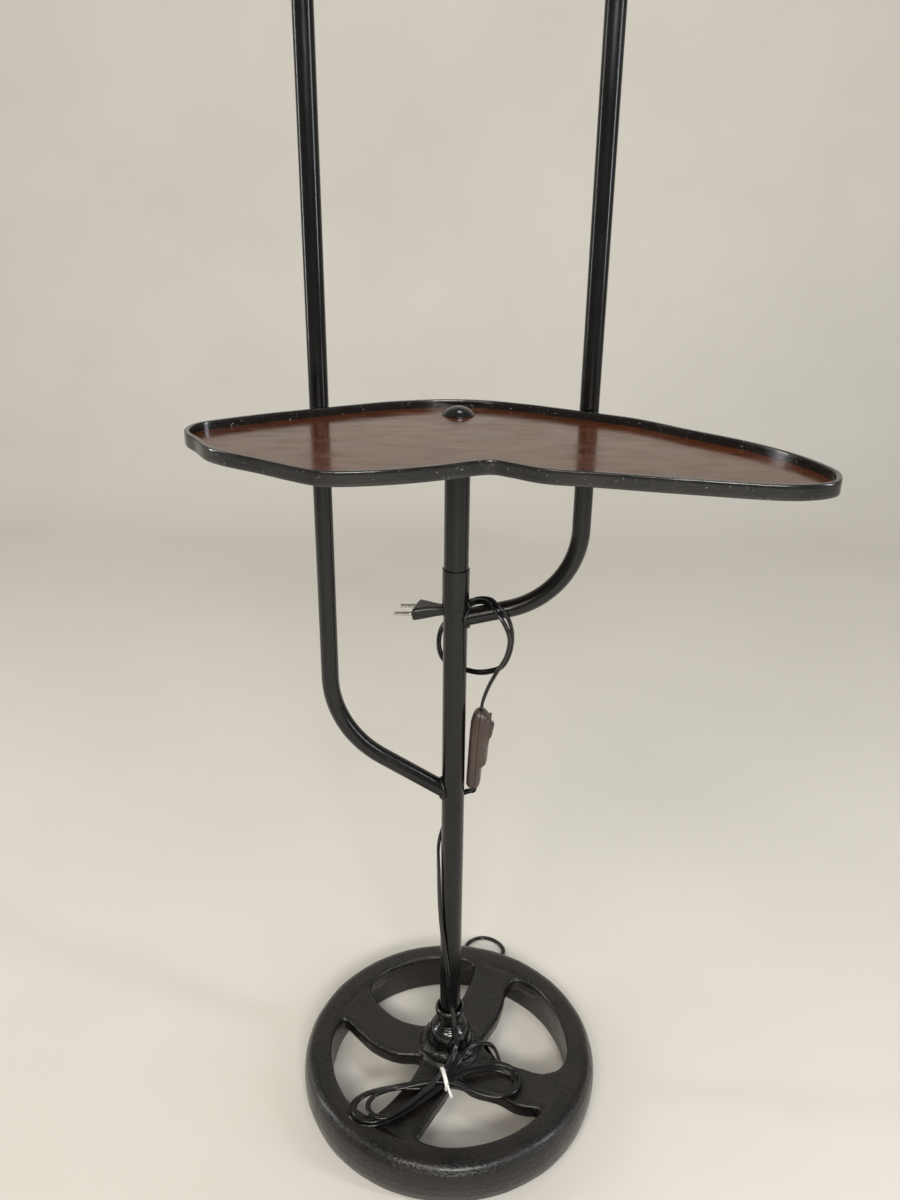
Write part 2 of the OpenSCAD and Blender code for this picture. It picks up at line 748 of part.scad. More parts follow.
// Front half, with the rocker's window and its two pivot ears.
module switch_front() {
    ear_w = 5;
    window_w = rocker_w + 1;
    window_l = rocker_l + 1.6;
    color([0.12, 0.07, 0.05]) at_switch() difference() {
        shell_half(0, -1, 0, deep_y);
        translate([-switch_w, -switch_half_t - 1, -1])
            cube([2 * switch_w, switch_half_t + 1 - foot_t, foot_l + 1]);
        difference() {
            shell_half(shell_wall, -1, -1, deep_y - shell_wall);
            translate([-switch_w, -switch_half_t, 0])
                cube([2 * switch_w, switch_half_t - 1, foot_l + shell_wall]);
            for (s = [-1, 1])
                translate([s * ear_x - ear_w / 2, -switch_half_t, rocker_up - ear_h / 2])
                    cube([ear_w, switch_half_t, ear_h]);
            screw_ways(boss_d, -switch_half_t, 0);
        }
        translate([-window_w / 2, -switch_half_t - 1, rocker_up - window_l / 2])
            cube([window_w, switch_half_t + 2, window_l]);
        translate([-pin_l / 2, rocker_pivot_y, rocker_up]) rotate([0, 90, 0])
            cylinder(h = pin_l, d = pivot_d + 2 * push_fit);
        screw_ways(switch_screw_d + 2 * push_fit, -screw_reach - 0.3, 1);
        cord_ways();
    }
}

module switch_back() {
    color([0.12, 0.07, 0.05]) at_switch() difference() {
        shell_half(0, 1, push_fit, deep_y);
        difference() {
            shell_half(shell_wall, 1, -1, deep_y - shell_wall);
            screw_ways(boss_d, 0, switch_half_t);
        }
        screw_ways(switch_screw_d + 2 * push_fit, -1, switch_half_t + 1);
        screw_ways(head_d + 0.4, switch_half_t - head_sink, switch_half_t + 1);
        cord_ways();
    }
}

module switch_screws() {
    color([0.5, 0.5, 0.5]) at_switch() for (z = switch_screw_z)
        translate([0, 0, z]) rotate([90, 0, 0]) {
            translate([0, 0, head_sink - switch_half_t])
                cylinder(h = switch_half_t - head_sink + screw_reach, d = switch_screw_d);
            translate([0, 0, head_sink - head_t - switch_half_t]) cylinder(h = head_t, d = head_d);
        }
}

// Rocker: a domed bar on a cross pin, tilted with its upper end out.
module switch_rocker() {
    half_l = rocker_l / 2 - 1;
    color([0.1, 0.06, 0.05]) at_switch()
        translate([0, rocker_pivot_y, rocker_up]) rotate([rocker_tilt, 0, 0]) difference() {
            translate([-rocker_w / 2, 0, 0]) rotate([90, 0, 90]) linear_extrude(rocker_w)
                polygon(concat([[2, -4], [2, 4], [-2, half_l - 0.5], [-5.5, half_l]],
                    [for (i = [0 : 6]) let (t = 1 - i / 3) [-9.5 + 2.2 * t * t, half_l * t]],
                    [[-5.5, -half_l], [-2, 0.5 - half_l]]));
            translate([-rocker_w, 0, 0]) rotate([0, 90, 0])
                cylinder(h = 2 * rocker_w, d = pivot_d + 2 * pivot_fit);
        }
}

module switch_pin() {
    color([0.6, 0.6, 0.6]) at_switch() translate([-pin_l / 2 + push_fit, rocker_pivot_y, rocker_up])
        rotate([0, 90, 0]) cylinder(h = pin_l - 2 * push_fit, d = pivot_d);
}

// ---- Plug ----

plug_at = plug_route[len(plug_route) - 1];
plug_dip = 7;
plug_turn = 15;
pin_gap = 18.6;
pin_d = 4;

module at_plug() {
    translate(plug_at) rotate([0, 0, -plug_turn]) rotate([0, -plug_dip, 0]) children();
}

// Flat two-pin plug: a waisted grip that widens to the pin face.
module plug_body() {
    plug_t = 12;
    color([0.04, 0.04, 0.04]) at_plug() translate([0, 0, -plug_t / 2]) linear_extrude(plug_t)
        polygon(smooth_closed([[0, -4], [-10, -6], [-19, -8.5], [-28, -12.5], [-33, -12.5], [-33, 12.5],
            [-28, 12.5], [-19, 8.5], [-10, 6], [0, 4]], 3));
}

module plug_pins() {
    pin_out = 16;
    face_x = -34;
    color([0.85, 0.85, 0.85]) at_plug() for (s = [-1, 1])
        translate([face_x - pin_out, s * pin_gap / 2, 0]) rotate([0, 90, 0]) union() {
            cylinder(h = pin_out, d = pin_d);
            sphere(d = pin_d);
        }
}

wheel_base();
column_lower();
column_upper();
column_sleeve();
column_collar();
collar_screw();
collar_bead();
cord_grommet();
branch_left();
branch_right();
weld_beads();
top_plug();
tray_washer();
tray_board();
tray_strip();
tray_screw();
at_left() bush();  // bush_left
at_right() bush();  // bush_right
at_left() nipple();  // nipple_left
at_right() nipple();  // nipple_right
at_left() bowl();  // bowl_left
at_right() bowl();  // bowl_right
bowl_nuts();
at_left() holder_cap();  // holder_cap_left
at_right() holder_cap();  // holder_cap_right
at_left() holder_skirt();  // holder_skirt_left
at_right() holder_skirt();  // holder_skirt_right
at_left() bulb_cap();  // bulb_cap_left
at_right() bulb_cap();  // bulb_cap_right
at_left() bulb_globe();  // bulb_globe_left
at_right() bulb_globe();  // bulb_globe_right
splice_block();
wire_left();
wire_right();
wire_supply();
cord_floor();
cord_hank();
cord_tie();
cord_riser();
cord_switch_to_plug();
switch_front();
switch_back();
switch_rocker();
switch_pin();
switch_screws();
plug_body();
plug_pins();
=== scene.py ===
import bpy
import math
import numpy as np
from mathutils import Matrix


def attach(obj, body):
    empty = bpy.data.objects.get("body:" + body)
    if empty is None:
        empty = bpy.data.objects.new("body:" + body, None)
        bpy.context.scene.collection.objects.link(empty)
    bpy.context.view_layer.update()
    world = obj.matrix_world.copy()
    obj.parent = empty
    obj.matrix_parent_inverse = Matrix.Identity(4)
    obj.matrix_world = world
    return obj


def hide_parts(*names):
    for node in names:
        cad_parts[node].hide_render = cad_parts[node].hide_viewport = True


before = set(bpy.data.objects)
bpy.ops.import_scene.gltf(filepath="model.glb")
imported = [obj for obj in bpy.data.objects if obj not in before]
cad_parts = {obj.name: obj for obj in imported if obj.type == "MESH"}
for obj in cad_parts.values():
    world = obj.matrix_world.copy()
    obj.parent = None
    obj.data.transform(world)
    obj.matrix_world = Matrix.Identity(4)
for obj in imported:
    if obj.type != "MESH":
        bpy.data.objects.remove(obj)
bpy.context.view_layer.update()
mm = 0.001


def toLinear(code):
    # sRGB hex to linear: ((c + 0.055) / 1.055) ^ 2.4 above the toe, c / 12.92 below it
    c = np.array([int(code[i:i + 2], 16) for i in (1, 3, 5)]) / 255.0
    lin = np.where(c > 0.04045, ((c + 0.055) / 1.055) ** 2.4, c / 12.92)
    return (float(lin[0]), float(lin[1]), float(lin[2]), 1.0)


def unitRows(a):
    # each row divided by its own length
    return a / np.maximum(np.linalg.norm(a, axis=-1, keepdims=True), 1e-12)


def smoothCurve(points, step, closed=False):
    # Catmull-Rom through the points, resampled to even arc length
    p = np.asarray(points, float)
    n = len(p)
    rows = []
    spans = n if closed else n - 1
    t = np.linspace(0, 1, 24, endpoint=False)[:, None]
    for i in range(spans):
        if closed:
            a, b, c, d = p[(i - 1) % n], p[i], p[(i + 1) % n], p[(i + 2) % n]
        else:
            b, c = p[i], p[i + 1]
            a = p[i - 1] if i > 0 else 2 * b - c
            d = p[i + 2] if i + 2 < n else 2 * c - b
        rows.append(0.5 * (2 * b + (c - a) * t + (2 * a - 5 * b + 4 * c - d) * t ** 2
                           + (3 * b - a - 3 * c + d) * t ** 3))
    q = np.vstack(rows + [p[:1] if closed else p[-1:]])
    s = np.r_[0, np.cumsum(np.linalg.norm(np.diff(q, axis=0), axis=1))]
    m = max(int(round(s[-1] / step)), 4)
    u = np.linspace(0, s[-1], m + 1)
    out = np.stack([np.interp(u, s, q[:, k]) for k in range(q.shape[1])], 1)
    return out[:-1] if closed else out


def relax(p, times, keep=()):
    # each inner point moves half way to the mean of its neighbours, so corners open out
    q = p.copy()
    held = np.zeros(len(p), bool)
    held[list(keep)] = True
    held[:2] = held[-2:] = True
    for _ in range(times):
        r = q.copy()
        r[1:-1] = 0.5 * q[1:-1] + 0.25 * (q[:-2] + q[2:])
        q = np.where(held[:, None], q, r)
    return q


def tangentsOf(p, closed=False):
    # the direction from the point before to the point after
    if closed:
        return unitRows(np.roll(p, -1, 0) - np.roll(p, 1, 0))
    return unitRows(np.gradient(p, axis=0))


def gridFaces(nu, nv, closeU, closeV):
    # one quad for each cell between neighbouring grid points, wrapped round on a closed side
    i = np.arange(nu if closeU else nu - 1)
    j = np.arange(nv if closeV else nv - 1)
    i, j = np.meshgrid(i, j, indexing="ij")
    i2, j2 = (i + 1) % nu, (j + 1) % nv
    return np.stack([i * nv + j, i2 * nv + j, i2 * nv + j2, i * nv + j2], -1).reshape(-1, 4)


class Shell:
    # vertices and faces of one piece, gathered from several closed surfaces
    def __init__(self):
        self.points, self.faces, self.count = [], [], 0

    def add(self, points, faces):
        # the signed volume is the sum of a . (b x c) over the triangles; where it is negative the faces turn round
        points = np.asarray(points, float).reshape(-1, 3)
        groups = [np.asarray(f, int) for f in (faces if isinstance(faces, list) else [faces])]
        volume = 0.0
        for f in groups:
            for k in range(1, f.shape[1] - 1):
                a, b, c = points[f[:, 0]], points[f[:, k]], points[f[:, k + 1]]
                volume += np.einsum("ij,ij->", a, np.cross(b, c))
        for f in groups:
            f = f[:, ::-1] if volume < 0 else f
            self.faces.append(f + self.count)
        self.points.append(points)
        self.count += len(points)

    def grid(self, g, closeU=False, closeV=False, capV=False, capU=False):
        # a two-parameter grid of points; a cap is a fan from the mean of an open end's ring
        nu, nv = g.shape[:2]
        points, faces, fans, ends = [g.reshape(-1, 3)], [gridFaces(nu, nv, closeU, closeV)], [], []
        if capU:
            ends += [(np.arange(nv), g[0], True), ((nu - 1) * nv + np.arange(nv), g[-1], False)]
        if capV:
            ends += [(np.arange(nu) * nv, g[:, 0], False), (np.arange(nu) * nv + nv - 1, g[:, -1], True)]
        for k, (ring, edge, flip) in enumerate(ends):
            points.append(edge.mean(0)[None])
            after = np.roll(ring, -1)
            a, b = (after, ring) if flip else (ring, after)
            fans.append(np.stack([a, b, np.full(len(ring), nu * nv + k)], 1))
        self.add(np.vstack(points), faces + ([np.vstack(fans)] if fans else []))


def makePiece(name, shell, material, nodes, body="stand", sharp=None):
    # the shell's points and faces as one mesh, in metres, riding its body in place of the named CAD solids
    mesh = bpy.data.meshes.new(name)
    points = np.vstack(shell.points) * mm
    mesh.vertices.add(len(points))
    mesh.vertices.foreach_set("co", points.astype(np.float32).ravel())
    loops = np.concatenate([f.ravel() for f in shell.faces])
    sizes = np.concatenate([np.full(len(f), f.shape[1]) for f in shell.faces])
    mesh.loops.add(len(loops))
    mesh.loops.foreach_set("vertex_index", loops.astype(np.int32))
    mesh.polygons.add(len(sizes))
    mesh.polygons.foreach_set("loop_start", np.r_[0, np.cumsum(sizes)[:-1]].astype(np.int32))
    mesh.polygons.foreach_set("use_smooth", np.ones(len(sizes), bool))
    mesh.update(calc_edges=True)
    mesh.validate()
    if sharp is not None:
        mesh.set_sharp_from_angle(angle=math.radians(sharp))
    obj = bpy.data.objects.new(name, mesh)
    bpy.context.scene.collection.objects.link(obj)
    mesh.materials.append(material)
    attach(obj, body)
    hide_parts(*nodes)
    return obj


def frames(path, guide, closed=False):
    # across and up directions at each point: up is the guide less its part along the path
    t = tangentsOf(path, closed)
    g = guide - np.einsum("ij,ij->i", guide, t)[:, None] * t
    g = unitRows(g)
    return t, np.cross(g, t), g


def sweep(shell, path, section, guide, closed=False, scale=None):
    # the section's points (across, up) carried along the path
    t, across, up = frames(path, guide, closed)
    k = np.ones(len(path)) if scale is None else scale
    g = (path[:, None] + (section[None, :, 0, None] * across[:, None]
                          + section[None, :, 1, None] * up[:, None]) * k[:, None, None])
    shell.grid(g, closeU=closed, closeV=True, capU=not closed)


def carried(path, first):
    # a guide turned as little as the path turns
    t = tangentsOf(path)
    out = np.zeros_like(path)
    v = np.array(first, float)
    for i in range(len(path)):
        v = v - v @ t[i] * t[i]
        v = v / np.linalg.norm(v)
        out[i] = v
    return out


def steps(n):
    # n even angles round a full turn
    return np.linspace(0, 2 * np.pi, n, endpoint=False)


def circle(r, n):
    # (r cos a, r sin a) for n even angles
    a = steps(n)
    return np.stack([r * np.cos(a), r * np.sin(a)], 1)


def waves(x, y, seed, count=7, low=0.5, high=2.5):
    # a sum of seeded sine waves, about -1 to 1
    rng = np.random.default_rng(seed)
    out = np.zeros(np.broadcast(x, y).shape)
    for _ in range(count):
        k = rng.uniform(low, high)
        a = rng.uniform(0, 2 * np.pi)
        out = out + np.sin(k * (x * math.cos(a) + y * math.sin(a)) + rng.uniform(0, 2 * np.pi))
    return out / math.sqrt(count) / 1.4


def fillet(profile, radii, n=5):
    # rounds each corner of an open profile with a quarter-like arc of its own radius
    p = np.asarray(profile, float)
    out = [p[0]]
    for i in range(1, len(p) - 1):
        r = radii if np.isscalar(radii) else radii[i]
        a, b, c = p[i - 1], p[i], p[i + 1]
        da, dc = np.linalg.norm(a - b), np.linalg.norm(c - b)
        k = min(r, 0.45 * da, 0.45 * dc)
        s, e = b + (a - b) / da * k, b + (c - b) / dc * k
        for w in np.linspace(0, 1, n):
            out.append((1 - w) ** 2 * s + 2 * w * (1 - w) * b + w * w * e)
    out.append(p[-1])
    return np.array(out)


def dense(profile, step):
    # extra points on long straight stretches, so that bump and waviness have something to move
    p = np.asarray(profile, float)
    rows = [p[:1]]
    for a, b in zip(p[:-1], p[1:]):
        m = max(int(np.linalg.norm(b - a) / step), 1)
        rows.append(a + (b - a) * (np.arange(1, m + 1) / m)[:, None])
    return np.vstack(rows)


def revolvedGrid(profile, n, wobble=None):
    # (r cos a, r sin a, z) for each (r, z) of the profile; wobble(angle, height) is added to the radius
    p, a = np.asarray(profile, float), steps(n)[:, None]
    r, z = p[None, :, 0] + 0 * a, p[None, :, 1] + 0 * a
    if wobble is not None:
        r = r + wobble(a, z) * (r > 1e-6)
    return np.stack([r * np.cos(a), r * np.sin(a), z], -1)


def revolve(shell, profile, centre=(0, 0, 0), n=64, wobble=None):
    # a closed profile turned about an upright axis at the centre
    g = revolvedGrid(profile, n, wobble) + np.array(centre, float)
    shell.grid(g[:, :-1], closeU=True, closeV=True)


def placed(points, origin, turn):
    # the points turned by a matrix, then moved to the origin given
    return np.asarray(points) @ np.asarray(turn).T + np.asarray(origin)


def turned(axis, angle):
    # the matrix for a turn in degrees about x, y or z: cosines on the diagonal, sines across it
    c, s = math.cos(math.radians(angle)), math.sin(math.radians(angle))
    i, j = ((1, 2), (2, 0), (0, 1))["xyz".index(axis)]
    m = np.eye(3)
    m[i, i], m[j, j], m[i, j], m[j, i] = c, c, -s, s
    return m


def netSurface(field, low, step):
    # one point in each cell that the zero surface passes through, at the mean of its edge crossings
    inside = field < 0
    dims = np.array(field.shape) - 1
    sums, count = np.zeros((*dims, 3)), np.zeros(dims)
    found = []
    for a in range(3):
        lo, hi = [slice(None)] * 3, [slice(None)] * 3
        lo[a], hi[a] = slice(0, -1), slice(1, None)
        f0, f1, s0 = field[tuple(lo)], field[tuple(hi)], inside[tuple(lo)]
        hit = s0 != inside[tuple(hi)]
        at = np.argwhere(hit)
        p = at.astype(float)
        p[:, a] += f0[hit] / (f0[hit] - f1[hit])
        b, c = [k for k in range(3) if k != a]
        for db in (0, 1):
            for dc in (0, 1):
                cell = at.copy()
                cell[:, b] -= db
                cell[:, c] -= dc
                np.add.at(sums, tuple(cell.T), p)
                np.add.at(count, tuple(cell.T), 1)
        found.append((a, b, c, at, s0[hit]))
    used = count > 0
    number = np.full(dims, -1)
    number[used] = np.arange(used.sum())
    points = sums[used] / count[used][:, None]
    quads = []
    for a, b, c, at, below in found:
        loop = []
        for db, dc in ((0, 0), (1, 0), (1, 1), (0, 1)):
            cell = at.copy()
            cell[:, b] -= db
            cell[:, c] -= dc
            loop.append(number[tuple(cell.T)])
        q = np.stack(loop, 1)
        turn = below ^ (a == 1)
        q[~turn] = q[~turn][:, ::-1]
        quads.append(q)
    # two steps down the field's slope put the points back on the surface
    for _ in range(2):
        f, g = sample(field, points)
        points = points - (f / np.maximum((g ** 2).sum(1), 1e-9))[:, None] * g * 0.8
    return points * step + np.asarray(low, float), np.vstack(quads)


def sample(field, p):
    # value and slope of the field between its grid points
    i = np.clip(p.astype(int), 0, np.array(field.shape) - 2)
    u = p - i
    v = np.zeros((2, 2, 2, len(p)))
    for a in (0, 1):
        for b in (0, 1):
            for c in (0, 1):
                v[a, b, c] = field[i[:, 0] + a, i[:, 1] + b, i[:, 2] + c]
    x, y, z = u.T
    vx = v[0] * (1 - x) + v[1] * x
    vy = vx[0] * (1 - y) + vx[1] * y
    f = vy[0] * (1 - z) + vy[1] * z
    dx = (((v[1] - v[0])[0] * (1 - y) + (v[1] - v[0])[1] * y) * np.stack([1 - z, z])).sum(0)
    dy = ((vx[1] - vx[0]) * np.stack([1 - z, z])).sum(0)
    dz = vy[1] - vy[0]
    return f, np.stack([dx, dy, dz], 1)


def outlineDistance(x, y, outline):
    # signed distance from grid points to a closed outline, inside negative
    best = np.full(x.shape, 1e18)
    odd = np.zeros(x.shape, bool)
    for a, b in zip(outline, np.roll(outline, -1, 0)):
        ex, ey = b - a
        w = np.clip(((x - a[0]) * ex + (y - a[1]) * ey) / max(ex * ex + ey * ey, 1e-12), 0, 1)
        best = np.minimum(best, (x - a[0] - w * ex) ** 2 + (y - a[1] - w * ey) ** 2)
        if a[1] != b[1]:
            odd ^= ((a[1] > y) != (b[1] > y)) & (x < (b[0] - a[0]) * (y - a[1]) / (b[1] - a[1]) + a[0])
    best = np.sqrt(best)
    return np.where(odd, -best, best)


def slab(d2, z, z0, z1, r):
    # an outline's distance d2 given a height from z0 to z1, its edges rounded to r
    qx, qz = d2 + r, np.abs(z - (z0 + z1) / 2) - (z1 - z0) / 2 + r
    return np.hypot(np.maximum(qx, 0), np.maximum(qz, 0)) + np.minimum(np.maximum(qx, qz), 0) - r


def melt(a, b, k):
    # the smooth union of two fields, with a fillet of about k
    h = np.clip(0.5 + 0.5 * (b - a) / k, 0, 1)
    return b + (a - b) * h - k * h * (1 - h)


def carve(a, b, k):
    # a less b, with its edge softened by k
    h = np.clip(0.5 - 0.5 * (a + b) / k, 0, 1)
    return a + (-b - a) * h + k * h * (1 - h)


def fieldGrid(low, high, step):
    # the grid points of a box, a step apart
    axes = [np.arange(low[k], high[k] + step, step) for k in range(3)]
    return np.meshgrid(*axes, indexing="ij")


camera = {"place": (-5.1, -821.0, 928.5), "down": 23.25, "roll": 0.67, "lens": 30.0, "sensor": 36.0}
lights = {"keyLight": ((-1.1, -2.3, 2.9), (0, 0, 0.6), (0.9, 1.1), 30, "#fff6ea"),  # place, aim, size in m, W, colour
          "sideLight": ((2.4, -0.9, 1.5), (0, 0, 0.7), (0.3, 1.9), 26, "#f3f6ff"),
          "leftStrip": ((-2.5, 0.2, 1.3), (0, 0, 0.7), (0.25, 1.9), 20, "#ffffff"),
          "topLight": ((0.3, 0.35, 3.4), (0, 0.3, 0), (1.0, 0.5), 14, "#ffffff"),
          "windowLight": ((0.25, -2.5, 1.85), (0, 0, 0.1), (1.2, 0.42), 60, "#fdfbf6")}
room = {"colour": "#e9e7e2", "strength": 0.3}


def placeObject(name, data, x, y, z, place):
    # an object whose own axes point along x, y and z
    obj = bpy.data.objects.new(name, data)
    bpy.context.scene.collection.objects.link(obj)
    m = Matrix.Identity(4)
    for i in range(3):
        m[i][0], m[i][1], m[i][2], m[i][3] = x[i], y[i], z[i], place[i]
    obj.matrix_world = m
    return obj


def makeCamera(c):
    # looks along y and down by one angle, then rolls: its right and up turn together by the roll
    data = bpy.data.cameras.new("camera")
    data.lens, data.sensor_width, data.sensor_fit = c["lens"], c["sensor"], "AUTO"
    data.clip_start, data.clip_end = 0.01, 50
    th, ro = math.radians(c["down"]), math.radians(c["roll"])
    right0, up0 = np.array([1.0, 0, 0]), np.array([0, math.sin(th), math.cos(th)])
    right = math.cos(ro) * right0 + math.sin(ro) * up0
    up = -math.sin(ro) * right0 + math.cos(ro) * up0
    behind = np.array([0, -math.cos(th), math.sin(th)])
    bpy.context.scene.camera = placeObject("camera", data, right, up, behind, np.array(c["place"]) * mm)


def areaLight(name, place, aim, size, power, code):
    # a soft rectangle that faces its aim, with its x axis level
    data = bpy.data.lights.new(name, "AREA")
    data.shape, data.size, data.size_y, data.energy = "RECTANGLE", size[0], size[1], power
    data.color = toLinear(code)[:3]
    p, q = np.array(place, float), np.array(aim, float)
    z = (p - q) / np.linalg.norm(p - q)
    x = np.cross([0, 0, 1.0], z)
    x = x / np.linalg.norm(x)
    placeObject(name, data, x, np.cross(z, x), z, p)


makeCamera(camera)
for name, values in lights.items():
    areaLight(name, *values)
world = bpy.data.worlds.new("world")
bpy.context.scene.world = world
world.use_nodes = True
sky = world.node_tree.nodes["Background"].inputs
sky[0].default_value, sky[1].default_value = toLinear(room["colour"]), room["strength"]
bpy.context.scene.view_settings.view_transform = "Standard"
print("camera and lights")


nodeKinds = {  # kind: Blender's node, sockets in the order of a row's values, settings, preset sockets, output
    "object": ("TexCoord", (), {}, {}, "Object"),
    "stretch": ("Mapping", ("Vector", "Scale"), {}, {}, 0),
    "noise": ("TexNoise", ("Vector", "Scale", "Detail", "Roughness"), {}, {"Detail": 3.0, "Roughness": 0.55}, "Fac"),
    "cells": ("TexVoronoi", ("Vector", "Scale"), {"feature": "SMOOTH_F1"}, {}, "Distance"),
    "range": ("MapRange", ("Value", "From Min", "From Max", "To Min", "To Max"), {}, {}, 0),
    "blend": ("Mix", (0, 6, 7), {"data_type": "RGBA"}, {}, 2),  # factor and the two colours
    "times": ("Math", (0, 1), {"operation": "MULTIPLY"}, {}, 0),
    "plus": ("Math", (0, 1), {"operation": "ADD"}, {}, 0),
    "bump": ("Bump", ("Height", "Distance", "Normal"), {}, {}, 0)}


def addNode(tree, made, kind, *values):
    # one node: a nested row makes its own node first, a name is an earlier pattern, a hex code a colour
    what, sockets, settings, preset, out = nodeKinds[kind]
    node = tree.nodes.new("ShaderNode" + what)
    for key, value in settings.items():
        setattr(node, key, value)
    for socket, value in [*preset.items(), *zip(sockets, values)]:
        if isinstance(value, tuple) and isinstance(value[0], str):
            value = addNode(tree, made, *value)
        elif isinstance(value, str):
            value = toLinear(value) if value[0] == "#" else made[value]
        if isinstance(value, bpy.types.NodeSocket):
            tree.links.new(value, node.inputs[socket])
        else:
            node.inputs[socket].default_value = value
    return node.outputs[out]


def makeMaterial(name, patterns, values=None):
    # the patterns in turn; those called colour, rough and relief feed the skin
    mat = bpy.data.materials.new(name)
    mat.use_nodes = True
    tree = mat.node_tree
    skin = tree.nodes["Principled BSDF"].inputs
    made = {"at": addNode(tree, {}, "object")}
    for key, row in patterns.items():
        made[key] = addNode(tree, made, *row)
    for key, socket in (("colour", "Base Color"), ("rough", "Roughness"), ("relief", "Normal")):
        if key in made:
            tree.links.new(made[key], skin[socket])
    for socket, value in (values or {}).items():
        skin[socket].default_value = value
    return mat


def grain(size):
    # a pattern's scale from the size of its grain in millimetres
    return 1000.0 / size


# sand-cast iron under old black paint: grainy skin, dull hollows, rust showing through in specks
ironPaint = makeMaterial("sandCastIronPaintedBlack", {
    "coarse": ("noise", "at", grain(9), 4), "grit": ("noise", "at", grain(1.8), 5, 0.65),
    "fine": ("noise", "at", grain(0.55), 2), "patch": ("noise", "at", grain(34), 5, 0.6),
    "base": ("blend", ("range", "patch", 0.38, 0.66), "#080706", "#15100d"),
    "rust": ("times", ("range", "grit", 0.66, 0.78), ("range", "patch", 0.45, 0.62)),
    "rusted": ("blend", ("times", "rust", 0.7), "base", "#4a2c1b"),
    "colour": ("blend", ("times", ("range", "fine", 0.66, 0.8), 0.3), "rusted", "#6d665c"),
    "rough": ("range", ("plus", "coarse", "patch"), 0.75, 1.3, 0.24, 0.38),
    "pitted": ("bump", ("cells", "at", grain(2.6)), 0.5 * mm, ("bump", "coarse", 0.2 * mm)),
    "relief": ("bump", "fine", 0.14 * mm, ("bump", "grit", 0.35 * mm, "pitted"))},
    {"Coat Weight": 0.25, "Coat Roughness": 0.2, "Specular IOR Level": 0.45})

# steel tube under black enamel: long faint runs, a few dust nibs and rubbed patches
enamel = makeMaterial("steelTubeBlackEnamel", {
    "runs": ("noise", ("stretch", "at", (1, 1, 0.06)), grain(5), 4), "nib": ("noise", "at", grain(1.4), 2),
    "patch": ("noise", "at", grain(55), 4), "peel": ("noise", "at", grain(2.6), 2),
    "speck": ("range", "nib", 0.76, 0.82),
    "base": ("blend", ("range", "patch", 0.35, 0.68), "#080808", "#11100f"),
    "colour": ("blend", ("times", "speck", 0.6), "base", "#8f8a82"),
    "rough": ("range", ("plus", "runs", "patch"), 0.75, 1.3, 0.14, 0.3),
    "relief": ("bump", "speck", 0.12 * mm, ("bump", "runs", 0.05 * mm, ("bump", "peel", 0.035 * mm)))},
    {"Coat Weight": 0.2, "Coat Roughness": 0.1, "Specular IOR Level": 0.3})


def glossEnamel(name, dark, light, chip, chipSize, chipShare):
    # brushed gloss enamel: brush marks, chips down to the pale primer, fine scratches
    return makeMaterial(name, {
        "marks": ("noise", ("stretch", "at", (0.25, 0.25, 1.6)), grain(2.2), 4),
        "patch": ("noise", "at", grain(26), 4), "chips": ("noise", "at", grain(chipSize), 4, 0.7),
        "base": ("blend", ("range", "patch", 0.35, 0.7), dark, light),
        "share": ("range", "chips", chipShare, chipShare + 0.035),
        "colour": ("blend", "share", "base", chip),
        "rough": ("plus", ("range", "marks", 0.35, 0.7, 0.13, 0.3), ("times", "share", 0.4)),
        "chipped": ("bump", "share", -0.12 * mm, ("bump", "marks", 0.07 * mm)),
        "relief": ("bump", ("noise", "at", grain(0.7), 2), 0.012 * mm, "chipped")},
        {"Coat Weight": 0.5, "Coat Roughness": 0.08})


# board under clear lacquer: its brown tones are a painted reflection of an orange surround in the gloss, streaked
# along its length; dust specks, worn rings and scuffs
lacquer = makeMaterial("boardLacquerPaintedReflection", {
    "figure": ("noise", ("stretch", "at", (0.12, 1, 1)), grain(7), 6, 0.6),
    "scuff": ("noise", ("stretch", "at", (0.4, 1, 1)), grain(14), 5), "patch": ("noise", "at", grain(60), 4),
    # painted reflection: the browns in this row and the next stand in for an orange surround mirrored in the black
    # lacquer
    "wood": ("blend", ("range", "figure", 0.3, 0.72), "#3b1a08", "#63300f"),
    "base": ("blend", ("range", "patch", 0.4, 0.75), "wood", "#4a230b"),
    "dust": ("range", ("noise", "at", grain(2.4), 2), 0.745, 0.79),
    "colour": ("blend", ("times", "dust", 0.75), "base", "#c9b8a0"),
    "rough": ("range", "scuff", 0.35, 0.72, 0.12, 0.34),
    "relief": ("bump", "dust", 0.08 * mm, ("bump", "figure", 0.03 * mm))},
    {"Coat Weight": 0.3, "Coat Roughness": 0.12, "Specular IOR Level": 0.35})

# hand-pressed black filler: lumpy, dull, with finger marks
filler = makeMaterial("handPressedFiller", {
    "lump": ("noise", "at", grain(5), 5), "grit": ("noise", "at", grain(0.9), 3),
    "colour": ("blend", ("range", "lump", 0.35, 0.68), "#0c0b08", "#1d1a14"),
    "rough": ("range", "grit", 0.3, 0.7, 0.14, 0.38),
    "relief": ("bump", "grit", 0.2 * mm, ("bump", "lump", 1.2 * mm))})


def bareMetal(name, code, second, rough, lines=2.0):
    # turned or rolled bare metal: fine tool lines, faint tarnish
    return makeMaterial(name, {
        "tool": ("noise", ("stretch", "at", (1, 1, 12)), grain(lines), 3),
        "tarnish": ("noise", "at", grain(3.2), 4),
        "colour": ("blend", ("range", "tarnish", 0.4, 0.72), code, second),
        "rough": ("range", ("plus", "tool", "tarnish"), 0.7, 1.3, rough, rough + 0.18),
        "relief": ("bump", "tool", 0.02 * mm)}, {"Metallic": 1.0})


